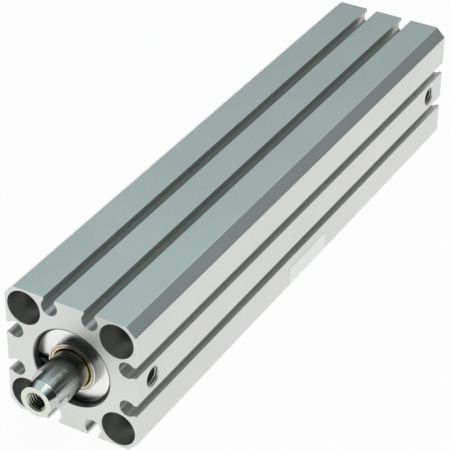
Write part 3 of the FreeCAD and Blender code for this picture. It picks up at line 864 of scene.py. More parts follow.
@dataclass(frozen=True)
class AnodisedFinish(Finish):
    """Etched and anodised extrusion with milled ends and two tapped ports.

    Args:
        scatter: Share of light that the etched sides scatter rather than mirror.
        bore: Darker colour painted on the bore and its grooves as shade in the recess.
        bore_reach: Radius that the bore and its grooves keep within.
        barrel: Barrel whose sizes tell its places apart.
        ends: Looks of the milled ends.
        slots: Looks of the slots' walls.
        ports: Looks of the ports' threads.
        shade_start: Depth in a port where painted shade starts on its thread.
        shade_full: Depth in a port from which the painted shade covers it all over.
    """

    scatter: float
    bore: Colour
    bore_reach: float
    barrel: "Barrel"
    ends: MilledEnds
    slots: SlotWalls
    ports: ShadedThread
    shade_start: float
    shade_full: float

    GRAIN: ClassVar[Layer] = Layer(even(2.6), 0.3, 0.75, share=0.65, swing=0.10, detail=3.0, weight=0.6)
    CLOUD: ClassVar[Layer] = Layer(even(0.045), 0.25, 0.8, share=0.35)
    LINES: ClassVar[Layer] = Layer((2.2, 0.009, 2.2), swing=0.06, detail=3.0, weight=0.55)
    CUTTER: ClassVar[Layer] = Layer((1.0, 0.001, 1.0))
    CUTTER_ACROSS: ClassVar[tuple[float, float]] = (4.5, -3.4)
    CUTTER_ALONG: ClassVar[tuple[float, float]] = (0.09, 0.12)
    GRAIN_HEIGHT: ClassVar[float] = 0.6
    LINE_HEIGHT: ClassVar[float] = 0.4
    DEPTH: ClassVar[float] = 0.006

    def paint(self, graph: Graph) -> None:
        """Fine etched grain, faint lines along the sides, milling marks on the ends, and painted shade on
        the slots' walls.

        Args:
            graph: Node tree of the material.
        """
        x, y, z = graph.place()
        ends = (y < END_MARGIN) + (y > self.barrel.length - END_MARGIN)
        bore = (x.across(z) < self.bore_reach) * (1.0 - ends)
        slots = self.slot_walls(x, z) * (1.0 - ends - bore)
        grain = self.GRAIN.noise(graph, x, y, z)
        cutter = self.cutter_lines(graph, x, y, z)
        marks = self.LINES.noise(graph, x, y, z) * (1.0 - ends) + cutter * ends
        height = (grain * self.GRAIN_HEIGHT + marks * self.LINE_HEIGHT) * (1.0 - ends)
        specks = grain.step(self.GRAIN.low, self.GRAIN.high)
        cloud = self.CLOUD.tone(self.CLOUD.noise(graph, x, y, z))
        etched = graph.mix(cloud + specks * self.GRAIN.share, self.shade, self.tint)
        milled = graph.mix(specks * self.ends.specks, self.ends.colour, self.shade)
        # Painted shade: the slots' walls are darkened towards black, the upper slots more.
        slot_shade = slots * (self.slots.slot_shade + (z > abs(x)) * self.slots.top_slot_shade)
        colour = graph.mix(slot_shade, graph.mix(ends, etched, milled), BLACK)
        # Painted shade: the bore and its grooves get a darker colour.
        colour = graph.mix(bore, colour, self.bore)
        # Painted shadow: a dark line on the end at the bore's mouth, widest up and to the side.
        colour = graph.mix(self.edge_shadow_mask(x, z) * ends, colour, self.ends.edge_shadow)
        rough = self.roughness + (self.ends.roughness - self.roughness) * ends
        scatter = ends * self.ends.scatter + slots * self.slots.scatter
        graph.surface({
            "Base Color": self.with_ports(graph, x, y, z, colour),
            "Metallic": 1.0 - scatter - (1.0 - ends - slots) * self.scatter,
            "Roughness": rough + self.GRAIN.rough(grain) + self.LINES.rough(marks),
            "Normal": graph.bump(height + cutter * ends * self.ends.cutter_height, self.DEPTH),
        })

    def slot_walls(self, x: Field, z: Field) -> Field:
        """One on the slots' walls, by the depth below the nearest side, and zero elsewhere.

        Args:
            x: Coordinate to the side.
            z: Coordinate upwards.

        Returns:
            The mask.
        """
        wide, narrow = abs(x).larger(abs(z)), abs(x).smaller(abs(z))
        depth = self.barrel.half - wide
        return depth.step(self.slots.start, self.slots.full) * (narrow < self.slots.reach)

    def cutter_lines(self, graph: Graph, x: Field, y: Field, z: Field) -> Field:
        """Noise with many cells across the cutter's way over the ends and few along it.

        Args:
            graph: Node tree to add it to.
            x: Coordinate to the side.
            y: Coordinate along the barrel.
            z: Coordinate upwards.

        Returns:
            The noise.
        """
        across, along = (x * side + z * up for side, up in (self.CUTTER_ACROSS, self.CUTTER_ALONG))
        return self.CUTTER.noise(graph, across, y, along)

    def edge_shadow_mask(self, x: Field, z: Field) -> Field:
        """One within the circle of the painted shadow line at the bore's mouth, and zero elsewhere."""
        shift = self.ends.edge_shadow_shift
        return (x - shift).across(z - shift) < self.ends.edge_shadow_reach

    def with_ports(self, graph: Graph, x: Field, y: Field, z: Field, colour: Field) -> Field:
        """Puts the ports' threads into the colour, with painted shade further in and at their roots.

        Args:
            graph: Node tree to add it to.
            x: Coordinate to the side.
            y: Coordinate along the barrel.
            z: Coordinate upwards.
            colour: Colour of the rest of the barrel.

        Returns:
            The colour all over.
        """
        first, second = ((y - place).across(z) for place in self.barrel.port_places)
        radius = first.smaller(second)
        depth = self.barrel.half - x
        mouth = self.barrel.thread.mouth_radius
        roots = (radius + depth > mouth + CONE_MARGIN) * (radius > self.ports.root_radius)
        # Painted shade on the port's thread, deeper in and at the roots.
        painted_shade = depth.step(self.shade_start, self.shade_full).larger(roots)
        inside = (radius < mouth + FIT_MARGIN) * (x > 0.0)
        return graph.mix(inside, colour, graph.mix(painted_shade, self.ports.cut, self.ports.painted_shade))


@dataclass(frozen=True)
class TurnedFinish(Finish):
    """Bright metal turned on a lathe, with lines that run round the rod's axis.

    Args:
        line_depth: Height of the lines in millimetres.
    """

    line_depth: float

    FINE: ClassVar[Layer] = Layer(even(9.0), swing=0.12)
    BROAD: ClassVar[Layer] = Layer(even(1.7), 0.3, 0.75, share=0.5)
    SMEAR: ClassVar[Layer] = Layer(even(0.42), 0.3, 0.8, share=0.5, swing=0.08)
    FINE_HEIGHT: ClassVar[float] = 0.5
    BROAD_HEIGHT: ClassVar[float] = 0.5

    def paint(self, graph: Graph) -> None:
        """Lines depend on the distance from the axis and along it only, so they run round.

        Args:
            graph: Node tree of the material.
        """
        x, y, z = graph.place()
        radius = x.across(z)
        fine = self.FINE.noise(graph, radius, y, 0.0)
        broad = self.BROAD.noise(graph, radius, y, 0.0)
        smear = self.SMEAR.noise(graph, x, y, z)
        colour = graph.mix(self.BROAD.tone(broad) + self.SMEAR.tone(smear), self.shade, self.tint)
        rough = self.roughness + self.FINE.rough(fine) + self.SMEAR.rough(smear)
        graph.surface({
            "Base Color": self.coloured(graph, radius, colour),
            "Metallic": 1.0,
            "Roughness": self.roughened(radius, rough),
            "Normal": graph.bump(fine * self.FINE_HEIGHT + broad * self.BROAD_HEIGHT, self.line_depth),
        })

    def coloured(self, graph: Graph, radius: Field, colour: Field) -> Field:
        """The turned colour as it is, for pieces with one finish all over."""
        return colour

    def roughened(self, radius: Field, rough: Field) -> Field:
        """The turned roughness as it is."""
        return rough


@dataclass(frozen=True)
class CoverFinish(TurnedFinish):
    """Turned cover whose boss wall carries painted shade.

    Args:
        wall_reach: Radii that the boss's wall lies between.
        painted_wall_shade: Darker colour painted on that wall as shade.
        wall_roughness: Roughness of the wall above the faces' own.
    """

    wall_reach: tuple[float, float]
    painted_wall_shade: Colour
    wall_roughness: float

    def near_wall(self, radius: Field) -> Field:
        """One at the boss's wall and zero elsewhere."""
        return (radius > self.wall_reach[0]) * (radius < self.wall_reach[1])

    def coloured(self, graph: Graph, radius: Field, colour: Field) -> Field:
        """The turned colour, with painted shade on the wall at the boss's radius."""
        # Painted shade on the boss's wall.
        return graph.mix(self.near_wall(radius), colour, self.painted_wall_shade)

    def roughened(self, radius: Field, rough: Field) -> Field:
        """The turned roughness, with the wall's own at the boss's radius."""
        return rough + self.near_wall(radius) * self.wall_roughness


@dataclass(frozen=True)
class ChromeFinish(Finish):
    """Ground and hard-chromed rod with a bare turned end, milled flats and a cut thread.

    Args:
        rod: Rod whose sizes tell its places apart.
        steel: Colour of the bare end.
        steel_roughness: Roughness of the bare end.
        flat_share: Share of the bare end's looks that the milled flats have.
        cone_scatter: Share of light that the thread's rough mouth scatters rather than mirrors.
        thread: Looks of the thread.
    """

    rod: "Rod"
    steel: Colour
    steel_roughness: float
    flat_share: float
    cone_scatter: float
    thread: ShadedThread

    GROUND: ClassVar[Layer] = Layer((0.3, 16.0, 0.3), swing=0.05)
    RINGS: ClassVar[Layer] = Layer((7.0, 0.6, 0.0), swing=0.16)
    HAZE: ClassVar[Layer] = Layer(even(0.26), 0.3, 0.8, swing=0.03, detail=3.0)
    GROUND_HEIGHT: ClassVar[float] = 6.0
    THREAD_POLISH: ClassVar[float] = 0.12
    DEPTH: ClassVar[float] = 0.003

    def paint(self, graph: Graph) -> None:
        """Fine grinding rings on the chrome; turned rings and milling lines on the bare places.

        Args:
            graph: Node tree of the material.
        """
        x, y, z = graph.place()
        radius = x.across(z)
        tip, mouth = self.rod.tip, self.rod.thread.mouth_radius
        hole = (radius < mouth + FIT_MARGIN) * (y < 0.0)
        thread = hole * (radius + y > mouth + tip + CONE_MARGIN)
        bare = (y < tip + FIT_MARGIN).larger(hole)
        worked = bare.larger(self.flats(x, y, z) * self.flat_share)
        ground = self.GROUND.noise(graph, x, y, z)
        rings = self.RINGS.noise(graph, radius, y, 0.0)
        haze = self.HAZE.noise(graph, x, y, z)
        polish = self.roughness + self.GROUND.rough(ground) + self.HAZE.rough(haze)
        cut = self.steel_roughness + self.RINGS.rough(rings) - thread * self.THREAD_POLISH
        chrome = graph.mix(self.HAZE.tone(haze), self.shade, self.tint)
        colour = graph.mix(thread, graph.mix(worked, chrome, self.steel), self.thread.cut)
        # Painted shade in the thread's roots.
        roots = thread * (radius > self.thread.root_radius)
        height = ground * (1.0 - worked) * self.GROUND_HEIGHT + rings * worked
        graph.surface({
            "Base Color": graph.mix(roots, colour, self.thread.painted_shade),
            "Metallic": 1.0 - hole * (1.0 - thread) * self.cone_scatter,
            "Roughness": polish * (1.0 - worked) + cut * worked,
            "Normal": graph.bump(height, self.DEPTH),
        })

    def flats(self, x: Field, y: Field, z: Field) -> Field:
        """One on the two wrench flats and zero elsewhere.

        Args:
            x: Coordinate to the side.
            y: Coordinate along the rod.
            z: Coordinate upwards.

        Returns:
            The mask.
        """
        turn = np.radians(self.rod.flat_turn)
        across = abs(x * float(np.cos(turn)) + z * float(np.sin(turn)))
        near = abs(across - self.rod.flat_height) < FLAT_MARGIN
        return near * (y < self.rod.flats_end + FLAT_MARGIN)


@dataclass(frozen=True)
class BronzeFinish(Finish):
    """Sintered bearing bronze with open pores and painted shade along its inner and outer edges.

    Args:
        inner_edge: Radius up to which painted shade lies, in the gap to the rod.
        outer_edge: Radius from which painted shade lies, at the joint with the cover.
        painted_shade: Colour of the painted shade on those edges.
    """

    inner_edge: float
    outer_edge: float
    painted_shade: Colour

    TONE: ClassVar[Layer] = Layer(even(0.9), 0.35, 0.8, share=0.3, swing=0.14, detail=3.0)
    PORES: ClassVar[float] = 5.2
    PORE_EDGES: ClassVar[tuple[float, float]] = (0.12, 0.34)
    PORE_SHARE: ClassVar[float] = 0.7
    PORE_ROUGHNESS: ClassVar[float] = 0.2
    DEPTH: ClassVar[float] = 0.008

    def paint(self, graph: Graph) -> None:
        """Scattered dark pores in a warm bright metal, between two edges with painted shade.

        Args:
            graph: Node tree of the material.
        """
        x, y, z = graph.place()
        radius = x.across(z)
        # Painted shade at the gap to the rod and the joint with the cover.
        shaded_edges = (radius < self.inner_edge) + (radius > self.outer_edge)
        pores = 1.0 - graph.cells(self.PORES, x, y, z).step(*self.PORE_EDGES)
        tone = self.TONE.noise(graph, x, y, z)
        colour = graph.mix(pores * self.PORE_SHARE + self.TONE.tone(tone), self.tint, self.shade)
        graph.surface({
            "Base Color": graph.mix(shaded_edges, colour, self.painted_shade),
            "Metallic": 1.0,
            "Roughness": self.roughness + self.TONE.rough(tone) + pores * self.PORE_ROUGHNESS,
            "Normal": graph.bump(1.0 - pores, self.DEPTH),
        })


@dataclass(frozen=True)
class SpringSteelFinish(Finish):
    """Blackened spring steel with a thin film of oil."""

    CRYSTALS: ClassVar[Layer] = Layer(even(9.0), share=0.2, swing=0.18, detail=3.0, weight=0.65)
    PATCHES: ClassVar[Layer] = Layer(even(0.7), 0.45, 0.8, share=0.7, detail=3.0)
    FILM: ClassVar[Layer] = Layer(even(0.7), 0.3, 0.7, share=0.12)
    DEPTH: ClassVar[float] = 0.005

    def paint(self, graph: Graph) -> None:
        """Fine crystals of the black layer, thinner in small patches, which hold the oil.

        Args:
            graph: Node tree of the material.
        """
        place = graph.place()
        crystals = self.CRYSTALS.noise(graph, *place)
        patches = self.PATCHES.noise(graph, *place)
        tone = self.PATCHES.tone(patches) + crystals * self.CRYSTALS.share
        graph.surface({
            "Base Color": graph.mix(tone, self.shade, self.tint),
            "Metallic": 0.3,
            "Roughness": self.roughness + self.CRYSTALS.rough(crystals),
            "Coat Weight": self.FILM.tone(patches),
            "Coat Roughness": 0.25,
            "Normal": graph.bump(crystals, self.DEPTH),
        })


@dataclass(frozen=True)
class RubberFinish(Finish):
    """Moulded rubber, matt, with a light bloom."""

    SKIN: ClassVar[Layer] = Layer(even(6.5), share=0.15, swing=0.16, detail=3.0, weight=0.6)
    BLOOM: ClassVar[Layer] = Layer(even(0.38), 0.4, 0.85, share=0.7, detail=3.0)
    DEPTH: ClassVar[float] = 0.008

    def paint(self, graph: Graph) -> None:
        """A fine moulded skin and a faint uneven bloom.

        Args:
            graph: Node tree of the material.
        """
        place = graph.place()
        skin = self.SKIN.noise(graph, *place)
        bloom = self.BLOOM.tone(self.BLOOM.noise(graph, *place))
        graph.surface({
            "Base Color": graph.mix(bloom + skin * self.SKIN.share, self.tint, self.shade),
            "Roughness": self.roughness + self.SKIN.rough(skin),
            "Normal": graph.bump(skin, self.DEPTH),
        })


@dataclass(frozen=True)
class ResinFinish(Finish):
    """Filled bearing resin with short fibres that lie round the ring."""

    FIBRES: ClassVar[Layer] = Layer((0.7, 6.5, 0.7), 0.35, 0.7, swing=0.2, detail=3.0, weight=0.6)
    DEPTH: ClassVar[float] = 0.006

    def paint(self, graph: Graph) -> None:
        """Fibres are stretched noise, long across the axis and short along it.

        Args:
            graph: Node tree of the material.
        """
        fibres = self.FIBRES.noise(graph, *graph.place())
        graph.surface({
            "Base Color": graph.mix(self.FIBRES.tone(fibres), self.shade, self.tint),
            "Roughness": self.roughness + self.FIBRES.rough(fibres),
            "Normal": graph.bump(fibres, self.DEPTH),
        })


@dataclass(frozen=True)
class MagnetFinish(Finish):
    """Magnet powder bound in plastic."""

    GRAINS: ClassVar[float] = 6.5
    GRAIN_EDGES: ClassVar[tuple[float, float]] = (0.15, 0.6)
    SWING: ClassVar[float] = 0.3
    DEPTH: ClassVar[float] = 0.006

    def paint(self, graph: Graph) -> None:
        """Small grains of two greys with a slight glint.

        Args:
            graph: Node tree of the material.
        """
        grains = graph.cells(self.GRAINS, *graph.place())
        graph.surface({
            "Base Color": graph.mix(grains.step(*self.GRAIN_EDGES), self.tint, self.shade),
            "Metallic": 0.35,
            "Roughness": self.roughness + (grains - MIDDLE_CELL) * self.SWING,
            "Normal": graph.bump(grains, self.DEPTH),
        })


@dataclass(frozen=True)
class PlatedFinish(Finish):
    """Zinc-plated steel with a thin clear passivation."""

    DRIFT: ClassVar[Layer] = Layer(even(0.32), 0.3, 0.75, detail=3.0)
    SPANGLES: ClassVar[float] = 3.8
    SWING: ClassVar[float] = 0.16
    DEPTH: ClassVar[float] = 0.003

    def paint(self, graph: Graph) -> None:
        """Small spangles and a faint drift of colour over the plating.

        Args:
            graph: Node tree of the material.
        """
        place = graph.place()
        spangles = graph.cells(self.SPANGLES, *place)
        drift = self.DRIFT.tone(self.DRIFT.noise(graph, *place))
        graph.surface({
            "Base Color": graph.mix(drift, self.tint, self.shade),
            "Metallic": 1.0,
            "Roughness": self.roughness + (spangles - MIDDLE_CELL) * self.SWING,
            "Normal": graph.bump(spangles, self.DEPTH),
        })


@dataclass(frozen=True)
class FilmFinish(Finish):
    """Blank metallised polyester film with a satin face."""

    PEEL: ClassVar[Layer] = Layer(even(1.5), swing=0.1)
    MOTTLE: ClassVar[Layer] = Layer(even(0.24), 0.35, 0.75, swing=0.1, detail=3.0)
    COAT: ClassVar[float] = 0.1
    DEPTH: ClassVar[float] = 0.004

    def paint(self, graph: Graph) -> None:
        """A soft orange-peel face and faint mottling, which also changes its clear coat.

        Args:
            graph: Node tree of the material.
        """
        place = graph.place()
        peel = self.PEEL.noise(graph, *place)
        mottle = self.MOTTLE.noise(graph, *place)
        graph.surface({
            "Base Color": graph.mix(self.MOTTLE.tone(mottle), self.tint, self.shade),
            "Metallic": 0.6,
            "Roughness": self.roughness + self.PEEL.rough(peel),
            "Coat Weight": self.COAT + self.MOTTLE.rough(mottle),
            "Coat Roughness": 0.25,
            "Normal": graph.bump(peel, self.DEPTH),
        })


@dataclass(frozen=True)
class FloorFinish(Finish):
    """White paper that stays white behind the object and keeps a faint shadow.

    Args:
        glow: Share of plain white that the camera and mirrors see.
    """

    glow: float

    PAPER: ClassVar[Layer] = Layer(even(0.9))
    SEEING_RAYS: ClassVar[tuple[str, ...]] = ("Is Camera Ray", "Is Glossy Ray", "Is Transmission Ray")

    def paint(self, graph: Graph) -> None:
        """Diffuse paper, mixed with plain white for camera, glossy and transmission rays.

        Args:
            graph: Node tree of the material.
        """
        paths = graph.add("ShaderNodeLightPath").socket.node.outputs
        seen = sum(Field(graph, paths[name]) for name in self.SEEING_RAYS).smaller(1.0)
        paper = graph.mix(self.PAPER.noise(graph, *graph.place()), self.shade, self.tint)
        diffuse = graph.add("ShaderNodeBsdfDiffuse", None, {"Color": paper})
        white = graph.add("ShaderNodeEmission", None, {"Color": WHITE, "Strength": 1.0})
        mixed = graph.add("ShaderNodeMixShader", None, {0: seen * self.glow, 1: diffuse, 2: white})
        graph.add("ShaderNodeOutputMaterial", None, {"Surface": mixed})


# Sub-assemblies

@dataclass
class Barrel:
    """The slotted barrel with its stepped bore, corner holes and two tapped ports.

    Args:
        half: Half of the section's side.
        length: Length along the rod's axis.
        edge_flat: Size of the long edges' chamfers along each side.
        edge_easing: Radius between a chamfer and a side.
        end_easing: Radius of the ends' outer edges and of the head recesses' mouths.
        slot_place: Distance of a slot's middle from the side's middle.
        slot_lip: Half of a slot's mouth.
        lip_easing: Radius of the mouth's edges.
        pocket_radius: Radius of a slot's round pocket.
        pocket_depth: Depth of the pocket's centre below the side.
        pocket_easing: Radius between the neck and the pocket.
        pocket_columns: Points round a pocket.
        bolt_place: Distance of the bolt holes from the middle planes.
        bolt_radius: Radius of the bolt holes.
        head_radius: Radius of the bolts' head recesses.
        head_depth: Depth of those recesses.
        floor_easing: Radius where a recess's floor meets the bolt hole.
        bolt_columns: Points round a bolt hole.
        bore_radius: Radius of the bore.
        bore_columns: Points round the bore.
        seat_radius: Radius of the covers' seats.
        seat_depth: Depth of those seats.
        seat_chamfer: Size of the chamfer at a seat's mouth.
        groove_radius: Radius of the snap rings' grooves.
        groove_start: Depth where a groove starts.
        groove_end: Depth where it ends.
        port_places: Places of the ports' axes along the barrel.
        passage_radius: Radius of the air passage behind a port's thread.
        passage_end: Depth of that passage below the side.
        thread: Thread of a port.
    """

    half: float = 18.0
    length: float = 168.0
    edge_flat: float = 2.6
    edge_easing: float = 0.3
    end_easing: float = 0.09
    slot_place: float = 5.55
    slot_lip: float = 1.5
    lip_easing: float = 0.10
    pocket_radius: float = 2.2
    pocket_depth: float = 2.55
    pocket_easing: float = 0.3
    pocket_columns: int = 37
    bolt_place: float = 12.75
    bolt_radius: float = 2.7
    head_radius: float = 4.6
    head_depth: float = 11.5
    floor_easing: float = 0.1
    bolt_columns: int = 72
    bore_radius: float = 10.0
    bore_columns: int = 144
    seat_radius: float = 10.5
    seat_depth: float = 5.9
    seat_chamfer: float = 0.2
    groove_radius: float = 11.2
    groove_start: float = 1.5
    groove_end: float = 2.6
    port_places: tuple[float, float] = (7.2, 159.6)
    passage_radius: float = 1.0
    passage_end: float = 7.6
    thread: InsideThread = InsideThread(core=2.1, root=2.5, pitch=0.8, depth=5.0, countersink=0.65)

    @property
    def seat_mouth(self) -> float:
        """Radius where a seat's chamfer meets the end."""
        return self.seat_radius + self.seat_chamfer

    @property
    def head_mouth(self) -> float:
        """Radius where a head recess's rounded edge meets the end."""
        return self.head_radius + self.end_easing

    def slot(self, place: float) -> Outline:
        """One keyhole slot of the upper side, from its right lip to its left one.

        The lips and the necks' inner corners are arcs that touch the face, the neck and the pocket's
        circle; the pocket is the rest of that circle.

        Args:
            place: Middle of the slot across the side.

        Returns:
            The slot's outline.
        """
        lip, ease, neck = self.slot_lip, self.lip_easing, self.pocket_easing
        centre = self.half - self.pocket_depth
        reach = lip + neck
        rise = float(np.sqrt((self.pocket_radius + neck) ** 2 - reach ** 2))
        angle = float(np.degrees(np.arctan2(rise, reach)))
        top = self.half - ease
        return Outline.joined([
            Outline.arc((lip + ease, top), ease, 90.0, 180.0, EDGE_STEPS),
            Outline.arc((reach, centre + rise), neck, 180.0, 180.0 + angle, EDGE_STEPS),
            Outline.arc(
                (0.0, centre), self.pocket_radius, angle, -180.0 - angle, self.pocket_columns, hollow=True
            ),
            Outline.arc((-reach, centre + rise), neck, -angle, 0.0, EDGE_STEPS),
            Outline.arc((-lip - ease, top), ease, 0.0, 90.0, EDGE_STEPS),
        ]).moved(place, 0.0)

    def section(self) -> Outline:
        """The barrel's outer outline: one side with two slots, turned to the four sides.

        Returns:
            The outline in the plane across the rod.
        """
        ease = self.edge_easing
        corner = self.half - self.edge_flat - (np.sqrt(2.0) - 1.0) * ease
        upper = Outline.joined([
            Outline.arc((corner, self.half - ease), ease, 45.0, 90.0, FINE_EDGE_STEPS),
            self.slot(self.slot_place),
            self.slot(-self.slot_place),
            Outline.arc((-corner, self.half - ease), ease, 90.0, 135.0, FINE_EDGE_STEPS),
        ])
        return Outline.joined([upper.turned(90.0 * side) for side in range(4)])

    def skin(self, section: Outline) -> tuple[Patch, Array]:
        """The section carried along the barrel, its end edges rounded by a quarter circle.

        Args:
            section: Outer outline.

        Returns:
            The skin without the plane strip that carries the ports, and that strip's corners.
        """
        ease = self.end_easing
        tilt = np.radians(np.linspace(90.0, 0.0, EDGE_STEPS))
        inset = np.concatenate([ease - ease * np.cos(tilt), ease - ease * np.cos(tilt[::-1])])
        start = ease - ease * np.sin(tilt)
        height = np.concatenate([start, self.length - start[::-1]])
        lengthwise = np.concatenate([-np.sin(tilt), np.sin(tilt[::-1])])
        across = np.concatenate([np.cos(tilt), np.cos(tilt[::-1])])
        flat = section.points - inset[:, None, None] * section.normals
        rows = np.broadcast_to(height[:, None], flat.shape[:2])
        points = np.stack([flat[..., 0], rows, flat[..., 1]], axis=-1)
        looks = across[:, None, None] * section.normals
        normals = np.stack(
            [looks[..., 0], np.broadcast_to(lengthwise[:, None], rows.shape), looks[..., 1]], axis=-1
        )
        middle = (section.points + np.roll(section.points, -1, axis=0)) / 2.0
        strip = int(np.argmin(np.linalg.norm(middle - np.array([self.half, 0.0]), axis=1)))
        long_row = len(tilt) - 1
        following = (strip + 1) % len(section.points)
        corners = points[[long_row, long_row, long_row + 1, long_row + 1],
                         [strip, following, following, strip]]
        skip = np.array([long_row * len(section.points) + strip])
        return Patch.grid(points, normals, True, skip), corners

    def bore(self) -> Outline:
        """The stepped bore with a cover seat and a ring groove at each end.

        Returns:
            The profile of (radius, height).
        """
        front = [
            (self.seat_mouth, 0.0),
            (self.seat_radius, self.seat_chamfer),
            (self.seat_radius, self.groove_start),
            (self.groove_radius, self.groove_start),
            (self.groove_radius, self.groove_end),
            (self.seat_radius, self.groove_end),
            (self.seat_radius, self.seat_depth),
            (self.bore_radius, self.seat_depth),
        ]
        rear = [(radius, self.length - height) for radius, height in reversed(front)]
        return profile(front + rear, [0.0] * (2 * len(front)), Side.INWARD)

    def bolt_hole(self) -> Outline:
        """A through hole with a counterbore at each end, its mouths' edges rounded.

        Returns:
            The profile of (radius, height).
        """
        front = [
            (self.head_mouth, 0.0), (self.head_radius, 0.0),
            (self.head_radius, self.head_depth), (self.bolt_radius, self.head_depth),
        ]
        rear = [(radius, self.length - height) for radius, height in reversed(front)]
        easing = [0.0, self.end_easing, 0.0, self.floor_easing]
        return profile(front + rear, easing + easing[::-1], Side.INWARD)

    def port(self, place: float) -> tuple[list[Patch], Array]:
        """A tapped port in the right side with its passage.

        Args:
            place: Port's axis along the barrel.

        Returns:
            The port's surfaces and the circle of its mouth.
        """
        axis = Axis((self.half, place, 0.0), (-1.0, 0.0, 0.0), (0.0, 1.0, 0.0), (0.0, 0.0, -1.0))
        cone_end = self.thread.depth + self.thread.core - self.passage_radius
        passage = profile([
            (self.thread.core, self.thread.depth), (self.passage_radius, cone_end),
            (self.passage_radius, self.passage_end), (0.0, self.passage_end),
        ], [0.0] * 4, Side.INWARD)
        inner = Patch.turned(passage, axis, self.thread.angles())
        return [self.thread.patch(axis), inner], self.thread.mouth(axis)

    def build(self, finish: Finish) -> None:
        """Makes the barrel's shell in place of its CAD node.

        Args:
            finish: Finish of the barrel.
        """
        shell = Shell("barrel_shell")
        section = self.section()
        skin, strip = self.skin(section)
        shell.add(skin)
        mouths = []
        for place in self.port_places:
            surfaces, mouth = self.port(place)
            shell.add(*surfaces)
            mouths.append(mouth)
        shell.add(Patch.flat([strip, *mouths], (1.0, 0.0, 0.0)))
        bore_angles, hole_angles = even_angles(self.bore_columns), even_angles(self.bolt_columns)
        shell.add(Patch.turned(self.bore(), ROD_AXIS, bore_angles))
        sides = (-self.bolt_place, self.bolt_place)
        bolts = [along_axis(x, z) for x in sides for z in sides]
        shell.add(*(Patch.turned(self.bolt_hole(), bolt, hole_angles) for bolt in bolts))
        inner = section.points - self.end_easing * section.normals
        for height, look in ((0.0, -1.0), (self.length, 1.0)):
            outer = np.insert(inner, 1, height, axis=1)
            seat = ROD_AXIS.ring(self.seat_mouth, height, bore_angles)
            heads = [bolt.ring(self.head_mouth, height, hole_angles) for bolt in bolts]
            shell.add(Patch.flat([outer, seat, *heads], (0.0, look, 0.0)))
        shell.build(finish, Body.BARREL, "barrel")


